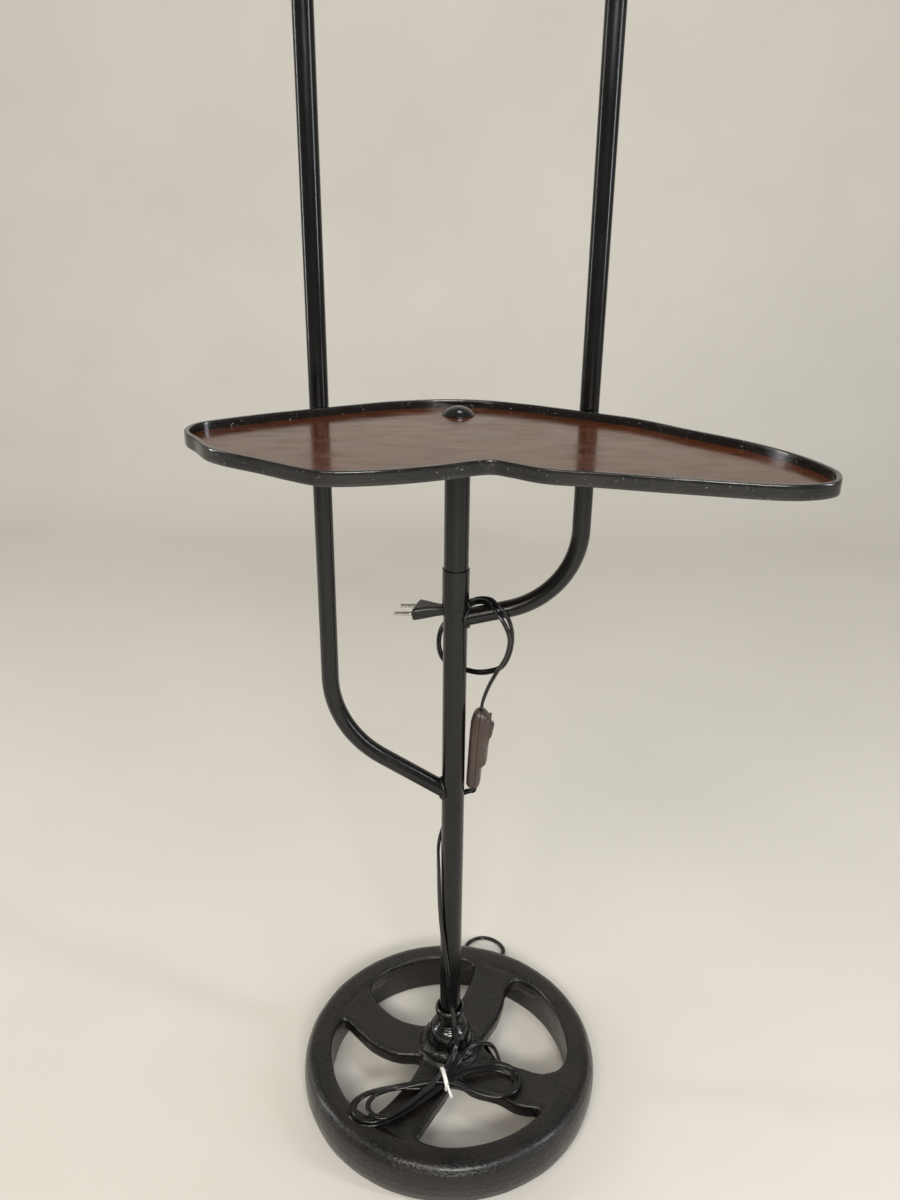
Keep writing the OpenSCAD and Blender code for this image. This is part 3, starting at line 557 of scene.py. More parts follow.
def mouldedPlastic(name, code, second, low, high, spark=0.5, depth=0.02):
    # moulded plastic: spark-eroded grain, soft cloudiness, small handling marks
    return makeMaterial(name, {
        "cloud": ("noise", "at", grain(11), 4),
        "mark": ("noise", ("stretch", "at", (1, 1, 0.3)), grain(1.6), 3),
        "colour": ("blend", ("range", "cloud", 0.35, 0.7), code, second),
        "rough": ("range", ("plus", "cloud", "mark"), 0.75, 1.25, low, high),
        "relief": ("bump", ("noise", "at", grain(spark), 2), depth * mm)})


def spunEnamel(name, first, second):
    # spun sheet under enamel: faint tool rings, orange peel
    return makeMaterial(name, {
        "ring": ("noise", ("stretch", "at", (0.04, 0.04, 1)), grain(1.4), 3), "patch": ("noise", "at", grain(24), 4),
        "colour": ("blend", ("range", "patch", 0.35, 0.7), first, second),
        "rough": ("range", "ring", 0.3, 0.7, 0.2, 0.38),
        "relief": ("bump", "ring", 0.006 * mm, ("bump", "patch", 0.03 * mm))})


# extruded PVC flex: glossy, faint draw lines along it, thumb-dulled stretches
sheath = makeMaterial("extrudedFlexSheath", {
    "dull": ("noise", "at", grain(16), 4),
    "colour": ("blend", ("range", "dull", 0.35, 0.7), "#0b0b0b", "#171616"),
    "rough": ("range", "dull", 0.3, 0.72, 0.1, 0.24),
    "relief": ("bump", ("noise", "at", grain(0.8), 3), 0.018 * mm)})

# opal glass: milky, a soft scatter under a smooth skin
opal = makeMaterial("opalBulbGlobe", {
    "cloud": ("noise", "at", grain(8), 3), "colour": ("blend", ("range", "cloud", 0.3, 0.7), "#f4f1ea", "#e9e5dc"),
    "rough": ("range", "cloud", 0.3, 0.7, 0.2, 0.32)},
    {"Subsurface Weight": 0.35, "Subsurface Radius": (0.01, 0.009, 0.008)})

glossBlack = glossEnamel("brushedGlossEnamel", "#060606", "#0d0c0c", "#8d8a80", 3.2, 0.735)
stripEnamel = glossEnamel("chippedStripEnamel", "#080807", "#141311", "#8f8d84", 2.4, 0.655)
steel = bareMetal("turnedSteel", "#9a9893", "#7c7974", 0.3)
brass = bareMetal("turnedBrass", "#c49a4a", "#a47c36", 0.24)
plated = bareMetal("nickelPlate", "#cfcdc8", "#b9b6b0", 0.16, 0.8)
blackMould = mouldedPlastic("mouldedBlackPlastic", "#0a0a0a", "#131212", 0.3, 0.5)
brownMould = mouldedPlastic("mouldedBrownPlastic", "#3a302a", "#483c35", 0.24, 0.4)
whiteMould = mouldedPlastic("whiteTiePlastic", "#f2f1ec", "#e2e0da", 0.4, 0.6, 0.9, 0.05)
spunBlack = spunEnamel("spunSheetBlack", "#131313", "#201f1e")
spunWhite = spunEnamel("spunSheetWhite", "#efece4", "#e0dcd2")
print("materials")


# the points of the cords' routes in millimetres, as in the CAD source; the factor mm makes them metres
floorRoute = [[0, 0, 22], [0, 1, 14], [2, 5, 6], [6, 14, 3], [12, 30, 3], [19, 60, 3], [26, 95, 3],
              [34.5, 130, 3], [38, 150, 3], [30, 168, 3], [20, 184, 3], [24, 202, 3], [40, 212, 3],
              [57, 208, 3], [69, 192, 3], [64, 174, 3], [50, 156, 3], [44.5, 137, 3], [41.5, 124, 3],
              [39, 100, 3], [38, 66, 3], [42, 34, 3], [52, 12, 4], [57, -2, 14], [54, -7, 31], [50, -12, 48],
              [43, -15, 59], [33, -18, 62], [20, -24, 61], [9, -38, 58], [2, -46, 54]]
hankRoute = [[-11, -52, 50.6], [-30, -56, 50.1], [-60, -61, 50.1], [-83, -67.5, 50.1], [-97, -78, 50.1],
             [-101, -91, 50.1], [-93, -103, 50.1], [-78, -106, 50.1], [-60, -99.5, 50.2], [-36, -85, 51.6],
             [-12, -67, 53.4], [3, -56, 53.4], [20, -47, 52.6], [38, -41, 50.6], [54, -39.5, 50.1],
             [67, -45, 50.1], [70, -55, 50.1], [64, -65.5, 50.1], [53, -69.5, 50.1], [40, -69, 50.1],
             [24, -66, 50.1], [8, -62, 50.1], [-10, -60.5, 50.1], [-28, -62.5, 50.6], [-46, -63.5, 52.6],
             [-62, -64.5, 53.4], [-81, -70, 53.4], [-94, -80, 53.4], [-97, -92, 53.4], [-89, -102, 53.4],
             [-75, -104, 53.4], [-58, -96.5, 53.4], [-38, -80, 53.4], [-15.5, -62.5, 53.4], [0, -51, 53.4],
             [18, -42, 53.4], [38, -36, 53.4], [56, -34.5, 53.4], [70, -40, 53.4], [75, -51, 53.4],
             [70, -64, 53.4], [57, -72, 53.4], [42, -72.5, 53.7], [24, -68.5, 55.6], [8, -63.5, 56.7],
             [-8, -60.5, 56.7], [-28, -62, 56.7], [-48, -66, 56.7], [-64, -70, 56.7], [-77, -77, 56.7],
             [-83, -88, 56.7], [-78, -99, 56.7], [-66, -102.5, 56.7], [-52, -95.5, 56.9], [-36, -83, 58.2],
             [-19, -67, 59.8], [-9, -56, 60.1]]
riserRoute = [[-4, -50, 60.6], [2, -42, 66], [6.5, -33, 71], [7, -28, 78], [5, -21, 90], [3.5, -17, 102],
              [1.5, -14.5, 114], [-1, -14, 135], [-4, -13.2, 165], [-7.5, -11.6, 195], [-10.5, -9, 222],
              [-12.4, -5.8, 250], [-13.2, -4.2, 281], [-13.9, 1, 303], [-12.6, 6.3, 313], [-9.5, 10.2, 322],
              [-3, 14, 343], [6, 15, 358], [15, 10, 367], [21.2, 2, 374], [21.7, 2, 383]]
plugRoute = [[25.7, 2, 459], [26.5, 2, 471], [32, -2, 491], [39, -8, 509], [46, -13.5, 527],
             [48.5, -16, 545], [44, -16.5, 559], [37, -12.5, 568.5], [31.5, -7, 573.8], [28, -2.5, 575],
             [21.5, 4, 573.2], [15, 11, 568], [8, 16.5, 561], [-2, 18.5, 552], [-12, 15, 542], [-15, 11, 530],
             [-13, 12, 516], [-5, 15, 504], [7, 16, 499], [21, 11, 498], [34, 4, 503], [44, -3, 512],
             [50, -7, 527], [51.5, -9.5, 544], [48.5, -10.5, 559], [42, -10.5, 570.8], [37.5, -8, 574],
             [33, -3, 576.8], [26.5, 4, 575.5], [20, 11, 572], [11, 16.6, 566.5], [2, 18.4, 561.5],
             [-5, 17, 558.8]]
flex = {"half": 1.15, "round": 1.55, "step": 1.6, "width": 5.4, "onFloor": 1.75, "sag": 4.2}


def flexSection(f):
    # two round cores side by side, joined by a web: a figure of eight, twice (half + round) wide
    a = np.radians(np.linspace(-132, 132, 12))
    right = np.stack([f["half"] + f["round"] * np.cos(a), f["round"] * np.sin(a)], 1)
    return np.vstack([right, -right])


def smoothGuide(path, guide, times):
    # each guide moves half way to its neighbours' mean, then loses its part along the path
    g = guide.copy()
    t = tangentsOf(path)
    for _ in range(times):
        g[1:-1] = 0.5 * g[1:-1] + 0.25 * (g[:-2] + g[2:])
        g = g - np.einsum("ij,ij->i", g, t)[:, None] * t
        g = unitRows(g)
    return g


def radialOut(path):
    # the level direction away from the column's axis
    return unitRows(np.c_[path[:, :2], np.zeros(len(path))] + 1e-6)


def firstFlex():
    # one flex from the column's foot over the floor, through the hank and up the column to the switch
    route = np.array(floorRoute + hankRoute + riserRoute, float)
    route[(route[:, 2] < 3.5) & (route[:, 2] > 2.5), 2] = flex["onFloor"]
    inHank = np.zeros(len(route), bool)
    inHank[len(floorRoute):len(floorRoute) + len(hankRoute)] = True
    reach = np.clip((np.hypot(route[:, 0], route[:, 1]) - 52) / 30, 0, 1)
    route[inHank, 2] -= (flex["sag"] * reach ** 2 * (3 - 2 * reach))[inHank]
    path = relax(smoothCurve(route, flex["step"]), 6)
    path[:, 2] = np.maximum(path[:, 2], flex["onFloor"])
    up = np.tile([0.0, 0, 1.0], (len(path), 1))
    z = path[:, 2]
    along = np.arange(len(path)) / len(path)
    onColumn = (along > 0.6) & (z > 66)
    up[onColumn] = radialOut(path[onColumn])
    inside = (along < 0.1) & (z > 4)
    up[inside] = np.array([0, -1.0, 0.2])
    climb = (along > 0.2) & (along < 0.6) & (z > 6) & (z < 46) & (np.hypot(path[:, 0], path[:, 1]) < 62)
    up[climb] = unitRows(np.c_[path[climb][:, :2], np.zeros(climb.sum())])
    lean = 0.16 * waves(np.arange(len(path)) * 0.035, np.zeros(len(path)), 5)
    side = np.cross(up, tangentsOf(path))
    up = unitRows(up + lean[:, None] * unitRows(side))
    return path, smoothGuide(path, up, 30)


def secondFlex():
    # from the switch over the right tube and round the column to the plug, flat side out from the column
    path = relax(smoothCurve(plugRoute, flex["step"]), 4)
    up = radialOut(path)
    low = path[:, 2] < 475
    up[low] = [math.sin(math.radians(80)), -math.cos(math.radians(80)), 0]
    last = np.arange(len(path)) > len(path) - 14
    up[last] = [0, 0, 1.0]
    return path, smoothGuide(path, up, 26)


def flexPiece(name, path, guide, nodes):
    # the figure of eight carried along the route
    shell = Shell()
    sweep(shell, path, flexSection(flex), guide)
    return makePiece(name, shell, sheath, nodes)


def lengthOf(path):
    # the sum of the distances between the path's points
    return float(np.linalg.norm(np.diff(path, axis=0), axis=1).sum())


firstPath, firstGuide = firstFlex()
secondPath, secondGuide = secondFlex()
firstCord = flexPiece("flexToSwitch", firstPath, firstGuide, ("cord_floor", "cord_hank", "cord_riser"))
secondCord = flexPiece("flexToPlug", secondPath, secondGuide, ("cord_switch_to_plug",))
print("cords", round(lengthOf(firstPath)), round(lengthOf(secondPath)))

tie = {"at": (-5, -57, 48), "turn": 14, "wide": 4.0, "thick": 0.9, "across": 11.6, "top": 14.2, "tail": 11}


def makeTie():
    # a flat band round the bundle, then its two ends twisted together into a tail
    shell = Shell()
    hw, z0, z1 = tie["across"], 0.5, tie["top"] - 0.45
    corners = [[0, -hw, z0 + 4], [0, -hw + 2.5, z0], [0, 0, z0], [0, hw - 2.5, z0], [0, hw, z0 + 3.5],
               [0, hw, z1 - 4], [0, hw - 3, z1 - 0.6], [0, 0, z1], [0, -hw + 3, z1 - 1.2], [0, -hw, z1 - 4.5]]
    loop = smoothCurve(corners, 0.8, closed=True)
    loop[:, 0] += 0.5 * np.sin(np.linspace(0, 2 * np.pi, len(loop)))
    out = loop - loop.mean(0)
    out[:, 0] = 0
    w, h = tie["wide"] / 2, tie["thick"] / 2
    section = fillet([[-w, 0], [-w, -h], [w, -h], [w, h], [-w, h], [-w, 0]], 0.3, 4)[:-1]
    sweep(shell, loop, section, unitRows(out), closed=True)
    path = smoothCurve([[0, -hw + 1, z1 - 2.5], [0.2, -hw - 2, z1 - 2.6], [0.8, -hw - 5, z1 - 4.5],
                        [1.6, -hw - 8, z1 - 7], [2.2, -hw - tie["tail"], z1 - 8.5]], 0.5)
    t, across, up = frames(path, carried(path, (1, 0, 0.2)))
    turn = np.arange(len(path)) * 0.55
    for s in (0, math.pi):
        c = path + 0.75 * (np.cos(turn + s)[:, None] * across + np.sin(turn + s)[:, None] * up)
        side = np.cos(turn + s)[:, None] * up - np.sin(turn + s)[:, None] * across
        flat = fillet([[-1.5, 0], [-1.5, -0.4], [1.5, -0.4], [1.5, 0.4], [-1.5, 0.4], [-1.5, 0]], 0.25, 3)[:-1]
        sweep(shell, c, flat, unitRows(np.cross(side, t)))
    shell.points = [placed(p, tie["at"], turned("z", tie["turn"])) for p in shell.points]
    makePiece("bundleTie", shell, whiteMould, ("cord_tie",), sharp=50)


makeTie()
print("tie")

wheel = {"high": 46, "outer": 159, "inner": 129, "spokeThick": 17, "spokeTop": 44, "hub": 34, "hubLow": 20,
         "hubTop": 48, "bore": 11.06, "notchWide": 18, "notchHigh": 9, "notchTurn": 74, "step": 1.6, "blend": 3.0}
spokeRadii = [134, 124, 106, 84, 60, 30]
spokeEdges = [[[85, 77, 75, 76, 79, 90], [42, 50, 51, 43, 31, -4]],
              [[171, 165, 170, 181, 194, 212], [130, 139, 144, 148, 149, 130]],
              [[263, 255, 256, 260, 269, 284], [220, 229, 231, 231, 229, 212]],
              [[353, 345, 339, 338, 338, 366], [327, 319, 312, 307, 291, 268]]]


def cornerArc(cx, cz, r, a0, a1, n):
    # an arc about (cx, cz) from one angle to another
    a = np.radians(np.linspace(a0, a1, n + 1))
    return np.stack([cx + r * np.cos(a), cz + r * np.sin(a)], 1)


def rimSection(w):
    # rounded top, crowned outer wall, flat foot, as radius and height
    o, i, h = w["outer"], w["inner"], w["high"]
    crown = np.array([[o - 3, h - 8], [o - 1, h - 15], [o, h * 0.48], [o - 0.5, h * 0.27], [o - 2, 6]])
    return np.vstack([cornerArc(i + 4, 4, 4, 270, 180, 5), cornerArc(i + 3.5, h - 3.5, 3.5, 180, 90, 5),
                      cornerArc(o - 13.5, h - 9.5, 9.5, 90, 22, 9), crown, cornerArc(o - 8, 6, 6, -10, -90, 5)])


def makeWheel(w):
    # rim, spokes and hub as fields, melted together with soft fillets, then bored and notched
    far = w["outer"] + 3.2
    x, y, z = fieldGrid((-far, -far, -2.4), (far, far, w["hubTop"] + 3), w["step"])
    radius = np.hypot(x, y)
    zs = z[0, 0]
    rr = np.arange(0, far * 1.5, 0.5)
    table = outlineDistance(rr[:, None] + 0 * zs[None], 0 * rr[:, None] + zs[None], rimSection(w))
    k = np.minimum((radius[:, :, 0] / 0.5).astype(int), len(rr) - 2)
    u = (radius[:, :, 0] / 0.5 - k)[:, :, None]
    rim = table[k] * (1 - u) + table[k + 1] * u
    plan = np.full(x.shape[:2], 1e3)
    for first, second in spokeEdges:
        sides = []
        for angles in (first, second):
            a = np.radians(angles)
            sides.append(smoothCurve(np.array(spokeRadii)[:, None] * np.stack([np.cos(a), np.sin(a)], 1), 3.0))
        plan = np.minimum(plan, outlineDistance(x[:, :, 0], y[:, :, 0], np.vstack([sides[0], sides[1][::-1]])))
    # in plan the spokes flare into the rim and the hub; their tops rise to meet the rim's
    r2 = radius[:, :, 0]
    plan = melt(melt(plan, w["inner"] + 1.5 - r2, 15.0), r2 - w["hub"] + 2, 12.0)
    plan = np.maximum(plan, r2 - w["outer"] + 12)[:, :, None]
    lift = 1.8 * np.clip((radius - 88) / 40, 0, 1) ** 2
    spokes = slab(plan, z - lift, w["spokeTop"] - w["spokeThick"], w["spokeTop"], 3.6)
    hub = slab(radius - w["hub"], z, w["hubLow"], w["hubTop"], 3.0)
    body = melt(melt(rim, spokes, w["blend"]), hub, w["blend"])
    lump = 0.32 * waves(x * 0.06, y * 0.06 + z * 0.05, 11, 9) + 0.12 * waves(x * 0.22, y * 0.22 - z * 0.2, 12, 9)
    body = body + lump * np.clip((w["hubTop"] - 1.5 - z) / 4, 0, 1) * np.clip(z / 4, 0, 1)
    body = carve(body, radius - w["bore"], 0.4)
    a = math.radians(w["notchTurn"])
    along, across = x * math.cos(a) + y * math.sin(a), -x * math.sin(a) + y * math.cos(a)
    notch = np.maximum(np.maximum(np.abs(across) - w["notchWide"] / 2, z - w["notchHigh"]), 100 - along)
    body = carve(body, notch, 2.0)
    body = np.maximum(body, -z)
    points, quads = netSurface(body, (-far, -far, -2.4), w["step"])
    shell = Shell()
    shell.add(points, quads)
    makePiece("castWheel", shell, ironPaint, ("wheel_base",))


makeWheel(wheel)
print("wheel")

column = {"r": 11, "bore": 9.5, "foot": 22, "joint": 588, "gap": 0.1, "top": 736, "sleeve": 18.5, "sleeveR": 12.15,
          "sleeveBore": 11.05, "collarR": 24, "collarH": 52, "hubTop": 48}


def tubeProfile(z0, z1, outer, inner, edge=0.4, step=12):
    # closed section of a tube, each end's edges eased
    out = [[outer - edge, z0], [outer, z0 + edge], [outer, z1 - edge], [outer - edge, z1]]
    inn = [[inner + edge, z1], [inner, z1 - edge], [inner, z0 + edge], [inner + edge, z0]]
    return dense(out + inn + out[:1], step)


def makeTube(name, z0, z1, outer, inner, nodes, seed, edge=0.4):
    # a straight tube whose wall wanders by a few hundredths of a millimetre
    shell = Shell()
    revolve(shell, tubeProfile(z0, z1, outer, inner, edge), n=72,
            wobble=lambda a, z: 0.03 * waves(z * 0.03, a * 1.0, seed))
    makePiece(name, shell, enamel, nodes, sharp=40)


makeTube("columnLower", column["foot"], column["joint"] - column["gap"], column["r"], column["bore"],
         ("column_lower",), 21)
makeTube("columnUpper", column["joint"] + column["gap"], column["top"], column["r"], column["bore"],
         ("column_upper",), 22)
makeTube("jointSleeve", column["joint"] - column["sleeve"], column["joint"] + column["sleeve"], column["sleeveR"],
         column["sleeveBore"], ("column_sleeve",), 23, 0.5)


def makeCollar(c):
    # bell with a wide foot, a waist and two soft beads at the top, bored for the column
    r, h = c["collarR"], c["collarH"]
    p = [[11.08, 0], [r - 0.8, 0], [r, 0.8], [r, 9], [r - 0.5, 14], [r - 1.5, 18.5], [r - 3, 22.5], [r - 5, 26],
         [r - 6.8, 27.6], [r - 7.4, 28.3], [r - 7.0, 29.2], [r - 7.8, 30.4], [r - 10.2, 0.6 * h],
         [r - 10.4, 0.6 * h + 2], [r - 10.4, h - 11], [r - 9, h - 9.4], [r - 8.3, h - 7.6], [r - 8.2, h - 3.5],
         [r - 8.8, h - 1.2], [r - 9.8, h], [12.6, h], [11.08, h - 4]]
    p = dense(fillet(np.array(p) + [0, c["hubTop"]], 1.2, 5), 3)
    shell = Shell()
    revolve(shell, np.vstack([p, p[:1]]), n=96,
            wobble=lambda a, z: 0.06 * waves(z * 0.25, a * 2.0, 31))
    makePiece("bellCollar", shell, glossBlack, ("column_collar",), sharp=55)
    # pressed by hand round the collar's foot, so it swells and thins
    b = np.array([[24.1, 0], [31.2, 0], [31.4, 0.9], [31.0, 2.0], [30.2, 3.0], [29.0, 4.0], [27.6, 4.8], [26.0, 5.3],
                  [24.8, 5.5], [24.1, 5.5]])
    a = steps(200)[:, None]
    x, y = np.cos(a), np.sin(a)
    u = np.clip((b[None, :, 0] - 24.1) / 2, 0, 1)
    lump = waves(5 * x + 0 * u, 5 * y + 0 * u, 33, 9) + 0.8 * waves(19 * x, 19 * y + 0.9 * b[None, :, 1], 34, 9)
    more = 0.5 + 0.5 * np.clip(-x * 0.8 - y * 0.6, -1, 1)
    r = b[None, :, 0] + u * (1.3 * lump + 1.8 * more - 0.4)
    z = b[None, :, 1] * (1 + 0.25 * waves(7 * x, 7 * y, 35) + 0.55 * more)
    g = np.stack([r * x, r * y, c["hubTop"] + 0.03 + z], -1)
    shell = Shell()
    shell.grid(g, closeU=True, closeV=True)
    makePiece("collarFiller", shell, filler, ("collar_bead",))


makeCollar(column)


def fieldPiece(name, build, low, high, step, origin, turn, material, nodes, body="stand"):
    # the surface where the field build(x, y, z) is nought, turned and moved into place
    points, quads = netSurface(build(*fieldGrid(low, high, step)), low, step)
    shell = Shell()
    shell.add(placed(points, origin, turn), quads)
    makePiece(name, shell, material, nodes, body)


def slottedScrew(r, length, slot, deep, head=0.3):
    # a round bar along z from 0 to length with a slot across its far end
    def build(x, y, z):
        rod = slab(np.hypot(x, y) - r, z, 0, length, head)
        cut = np.maximum(np.abs(x) - slot / 2, length - deep - z)
        return carve(rod, cut, 0.12)
    return build


fieldPiece("collarScrew", slottedScrew(2, 3.6, 0.8, 1.0), (-2.4, -2.4, -0.4), (2.4, 2.4, 4.0), 0.12,
           (0, -11.0, 85.5), turned("x", 90), enamel, ("collar_screw",))


def simpleTurned(name, profile, centre, material, nodes, n=64, edge=0.3, sharp=40):
    # a turned piece: a closed section of radius and height, its corners eased
    p = np.asarray(profile, float)
    p = dense(fillet(np.vstack([p, p[:1]]), edge, 4), 3)
    shell = Shell()
    revolve(shell, p, centre, n)
    makePiece(name, shell, material, nodes, sharp=sharp)


simpleTurned("footGrommet", [[2.8, 21], [2.8, 30], [9.4, 30], [9.4, 22.1], [10.4, 22.0], [10.4, 20.2], [3.4, 20.0]],
             (0, 0, 0), blackMould, ("cord_grommet",))
simpleTurned("topPlug", [[4.1, 706], [4.1, 736], [9.4, 736], [9.4, 706]], (0, 0, 0), steel, ("top_plug",))
simpleTurned("trayWasher", [[4.3, 736.02], [4.3, 738.98], [26, 738.98], [26, 736.02]], (0, 0, 0), steel,
             ("tray_washer",), 96)
print("column")

left = {"name": "Left", "sign": -1, "x": 115, "joint": 370, "slope": 32, "bend": 100, "top": 1312,
        "weldTop": 1000}
right = {"name": "Right", "sign": 1, "x": 108, "joint": 557, "slope": 13, "bend": 78, "top": 1500,
         "weldTop": 569.2}  # the right weld ends just under the sleeve


def tubeLine(b):
    # the axis: straight from the column, a circular bend, then upright
    s = math.radians(b["slope"])
    run = (b["x"] - b["bend"] + b["bend"] * math.sin(s)) / math.cos(s)
    bendZ = b["joint"] + run * math.sin(s) + b["bend"] * math.cos(s)
    d = np.linspace(0, run, 24)[1:]
    straight = np.stack([d * math.cos(s), 0 * d, b["joint"] + d * math.sin(s)], 1)
    a = np.linspace(s - math.pi / 2, 0, 40)[1:]
    bend = np.stack([b["x"] - b["bend"] + b["bend"] * np.cos(a), 0 * a, bendZ + b["bend"] * np.sin(a)], 1)
    z = np.arange(bendZ + 12, b["top"], 12)
    up = np.stack([b["x"] + 0 * z, 0 * z, z], 1)
    return np.vstack([straight, bend, up, [[b["x"], 0, b["top"]]]])


def sideTube(b, outer, inner):
    # outer and inner circles carried along the axis, joined by a small lip at the top
    line = tubeLine(b)
    t = tangentsOf(line)
    t[0], t[-1] = [math.cos(math.radians(b["slope"])), 0, math.sin(math.radians(b["slope"]))], [0, 0, 1.0]
    up = np.cross(t, [0, 1.0, 0])
    a = steps(48)
    w = np.linspace(0, 1, 12)[None, :, None]
    ease, wall = 0.4, 11.08
    walls, lips = [], []
    for r, side in ((outer, -1), (inner, 1)):
        off = r * (np.cos(a)[:, None, None] * np.array([0, 1.0, 0]) + np.sin(a)[:, None, None] * up[None])
        g = line[None] + off
        # the first ring slides along the tube until it meets the column's wall
        o = off[:, 0]
        slide = (-o[:, 0] + np.sqrt(np.maximum(wall ** 2 - o[:, 1] ** 2, 0))) / math.cos(math.radians(b["slope"]))
        start = np.array([0, 0, b["joint"]]) + o + slide[:, None] * t[0]
        end = line[11][None] + r * (np.cos(a)[:, None] * np.array([0, 1.0, 0]) + np.sin(a)[:, None] * up[0])
        g[:, :12] = start[:, None] * (1 - w) + end[:, None] * w
        g[:, -1, 2] -= ease
        lip = g[:, -1:].copy()
        lip[:, 0] = line[-1] + (lip[:, 0] - line[-1]) * (1 + side * ease / r)
        lip[:, 0, 2] = b["top"]
        walls.append(g)
        lips.append(lip)
    g = np.concatenate([walls[0], *lips, walls[1][:, ::-1]], 1)
    g[:, :, 0] *= b["sign"]
    shell = Shell()
    shell.grid(g, closeU=True, closeV=True)
    makePiece("sideTube" + b["name"], shell, enamel, ("branch_" + b["name"].lower(),), sharp=40)


def weldRing(shell, b):
    # a bead laid where the tube meets the column: overlapping ripples of uneven size
    s = math.radians(b["slope"])
    d, up = np.array([math.cos(s), 0, math.sin(s)]), np.array([-math.sin(s), 0, math.cos(s)])
    a = steps(220)
    o = 8.5 * (np.cos(a)[:, None] * np.array([0, 1.0, 0]) + np.sin(a)[:, None] * up)
    k = (-o[:, 0] + np.sqrt(11.8 ** 2 - o[:, 1] ** 2)) / math.cos(s)
    path = np.array([0, 0, b["joint"]]) + o + k[:, None] * d
    ripple = np.abs(np.sin(a * 15)) ** 0.7 * 0.3 + 0.18 * waves(3 * np.cos(a), 3 * np.sin(a), 40 + b["joint"])
    size = 1 + 0.5 * (ripple - 0.2)
    path[:, 0] *= b["sign"]
    sweep(shell, path, circle(1.7, 14), unitRows(path - np.array([0, 0, b["joint"]])), True, size)
    shell.points[-1][:, 2] = np.minimum(shell.points[-1][:, 2], b["weldTop"])


for b in (left, right):
    sideTube(b, 8.0, 6.5)
shell = Shell()
for b in (left, right):
    weldRing(shell, b)
makePiece("footWelds", shell, enamel, ("weld_beads",))
print("side tubes")

tray = {"low": 739, "board": 4, "strip": 4, "rise": 6.5, "domeR": 14, "domeH": 7, "seam": 24}
trayOutline = [[-205, -84], [-201, -67], [-184, -52], [-151, -30], [-118, -12], [-88, 4], [-55, 20], [-16, 30],
               [22, 28], [59, 14], [83, 1], [112, -16], [144, -36], [176, -69], [212, -104], [236, -138],
               [249, -172], [249, -191], [238, -209], [206, -216], [146, -205], [89, -192], [56, -185],
               [34, -171], [22, -165], [6, -170], [-13, -180], [-40, -190], [-72, -197], [-92, -196],
               [-109, -187], [-135, -169], [-163, -151], [-178, -137], [-190, -116], [-201, -99]]


def trayEdge(inward, step=2.0):
    # the outline as a smooth closed curve, moved inwards along its normals
    q = smoothCurve(np.roll(np.array(trayOutline, float), -tray["seam"], axis=0), step, closed=True)
    t = tangentsOf(q, True)
    return q + inward * np.stack([t[:, 1], -t[:, 0]], 1)


def makeStrip():
    # a flat moulding bent on edge round the board, its ends meeting at the front hollow
    line = trayEdge(tray["strip"] / 2)
    h = (tray["board"] + tray["rise"]) / 2
    line = np.vstack([line, line[:1]])
    t = unitRows(line[1] - line[0])
    line[0] += 0.2 * t
    line[-1] -= 0.2 * t
    path = np.c_[line, np.full(len(line), tray["low"] + h)]
    w = tray["strip"] / 2
    box = [[0, -h], [w, -h], [w, h], [-w, h], [-w, -h], [0, -h]]
    section = dense(fillet(box, [0, 0.9, 1.3, 1.3, 0.9, 0], 5), 1.6)[:-1]
    wave = 1 + 0.02 * waves(np.arange(len(path)) * 0.06, np.zeros(len(path)), 51)
    shell = Shell()
    sweep(shell, path, section, np.tile([0, 0, 1.0], (len(path), 1)), False, wave)
    shell.points[-1][:, 2] = np.clip(shell.points[-1][:, 2], tray["low"], tray["low"] + 2 * h)
    makePiece("trayStrip", shell, stripEnamel, ("tray_strip",), sharp=60)


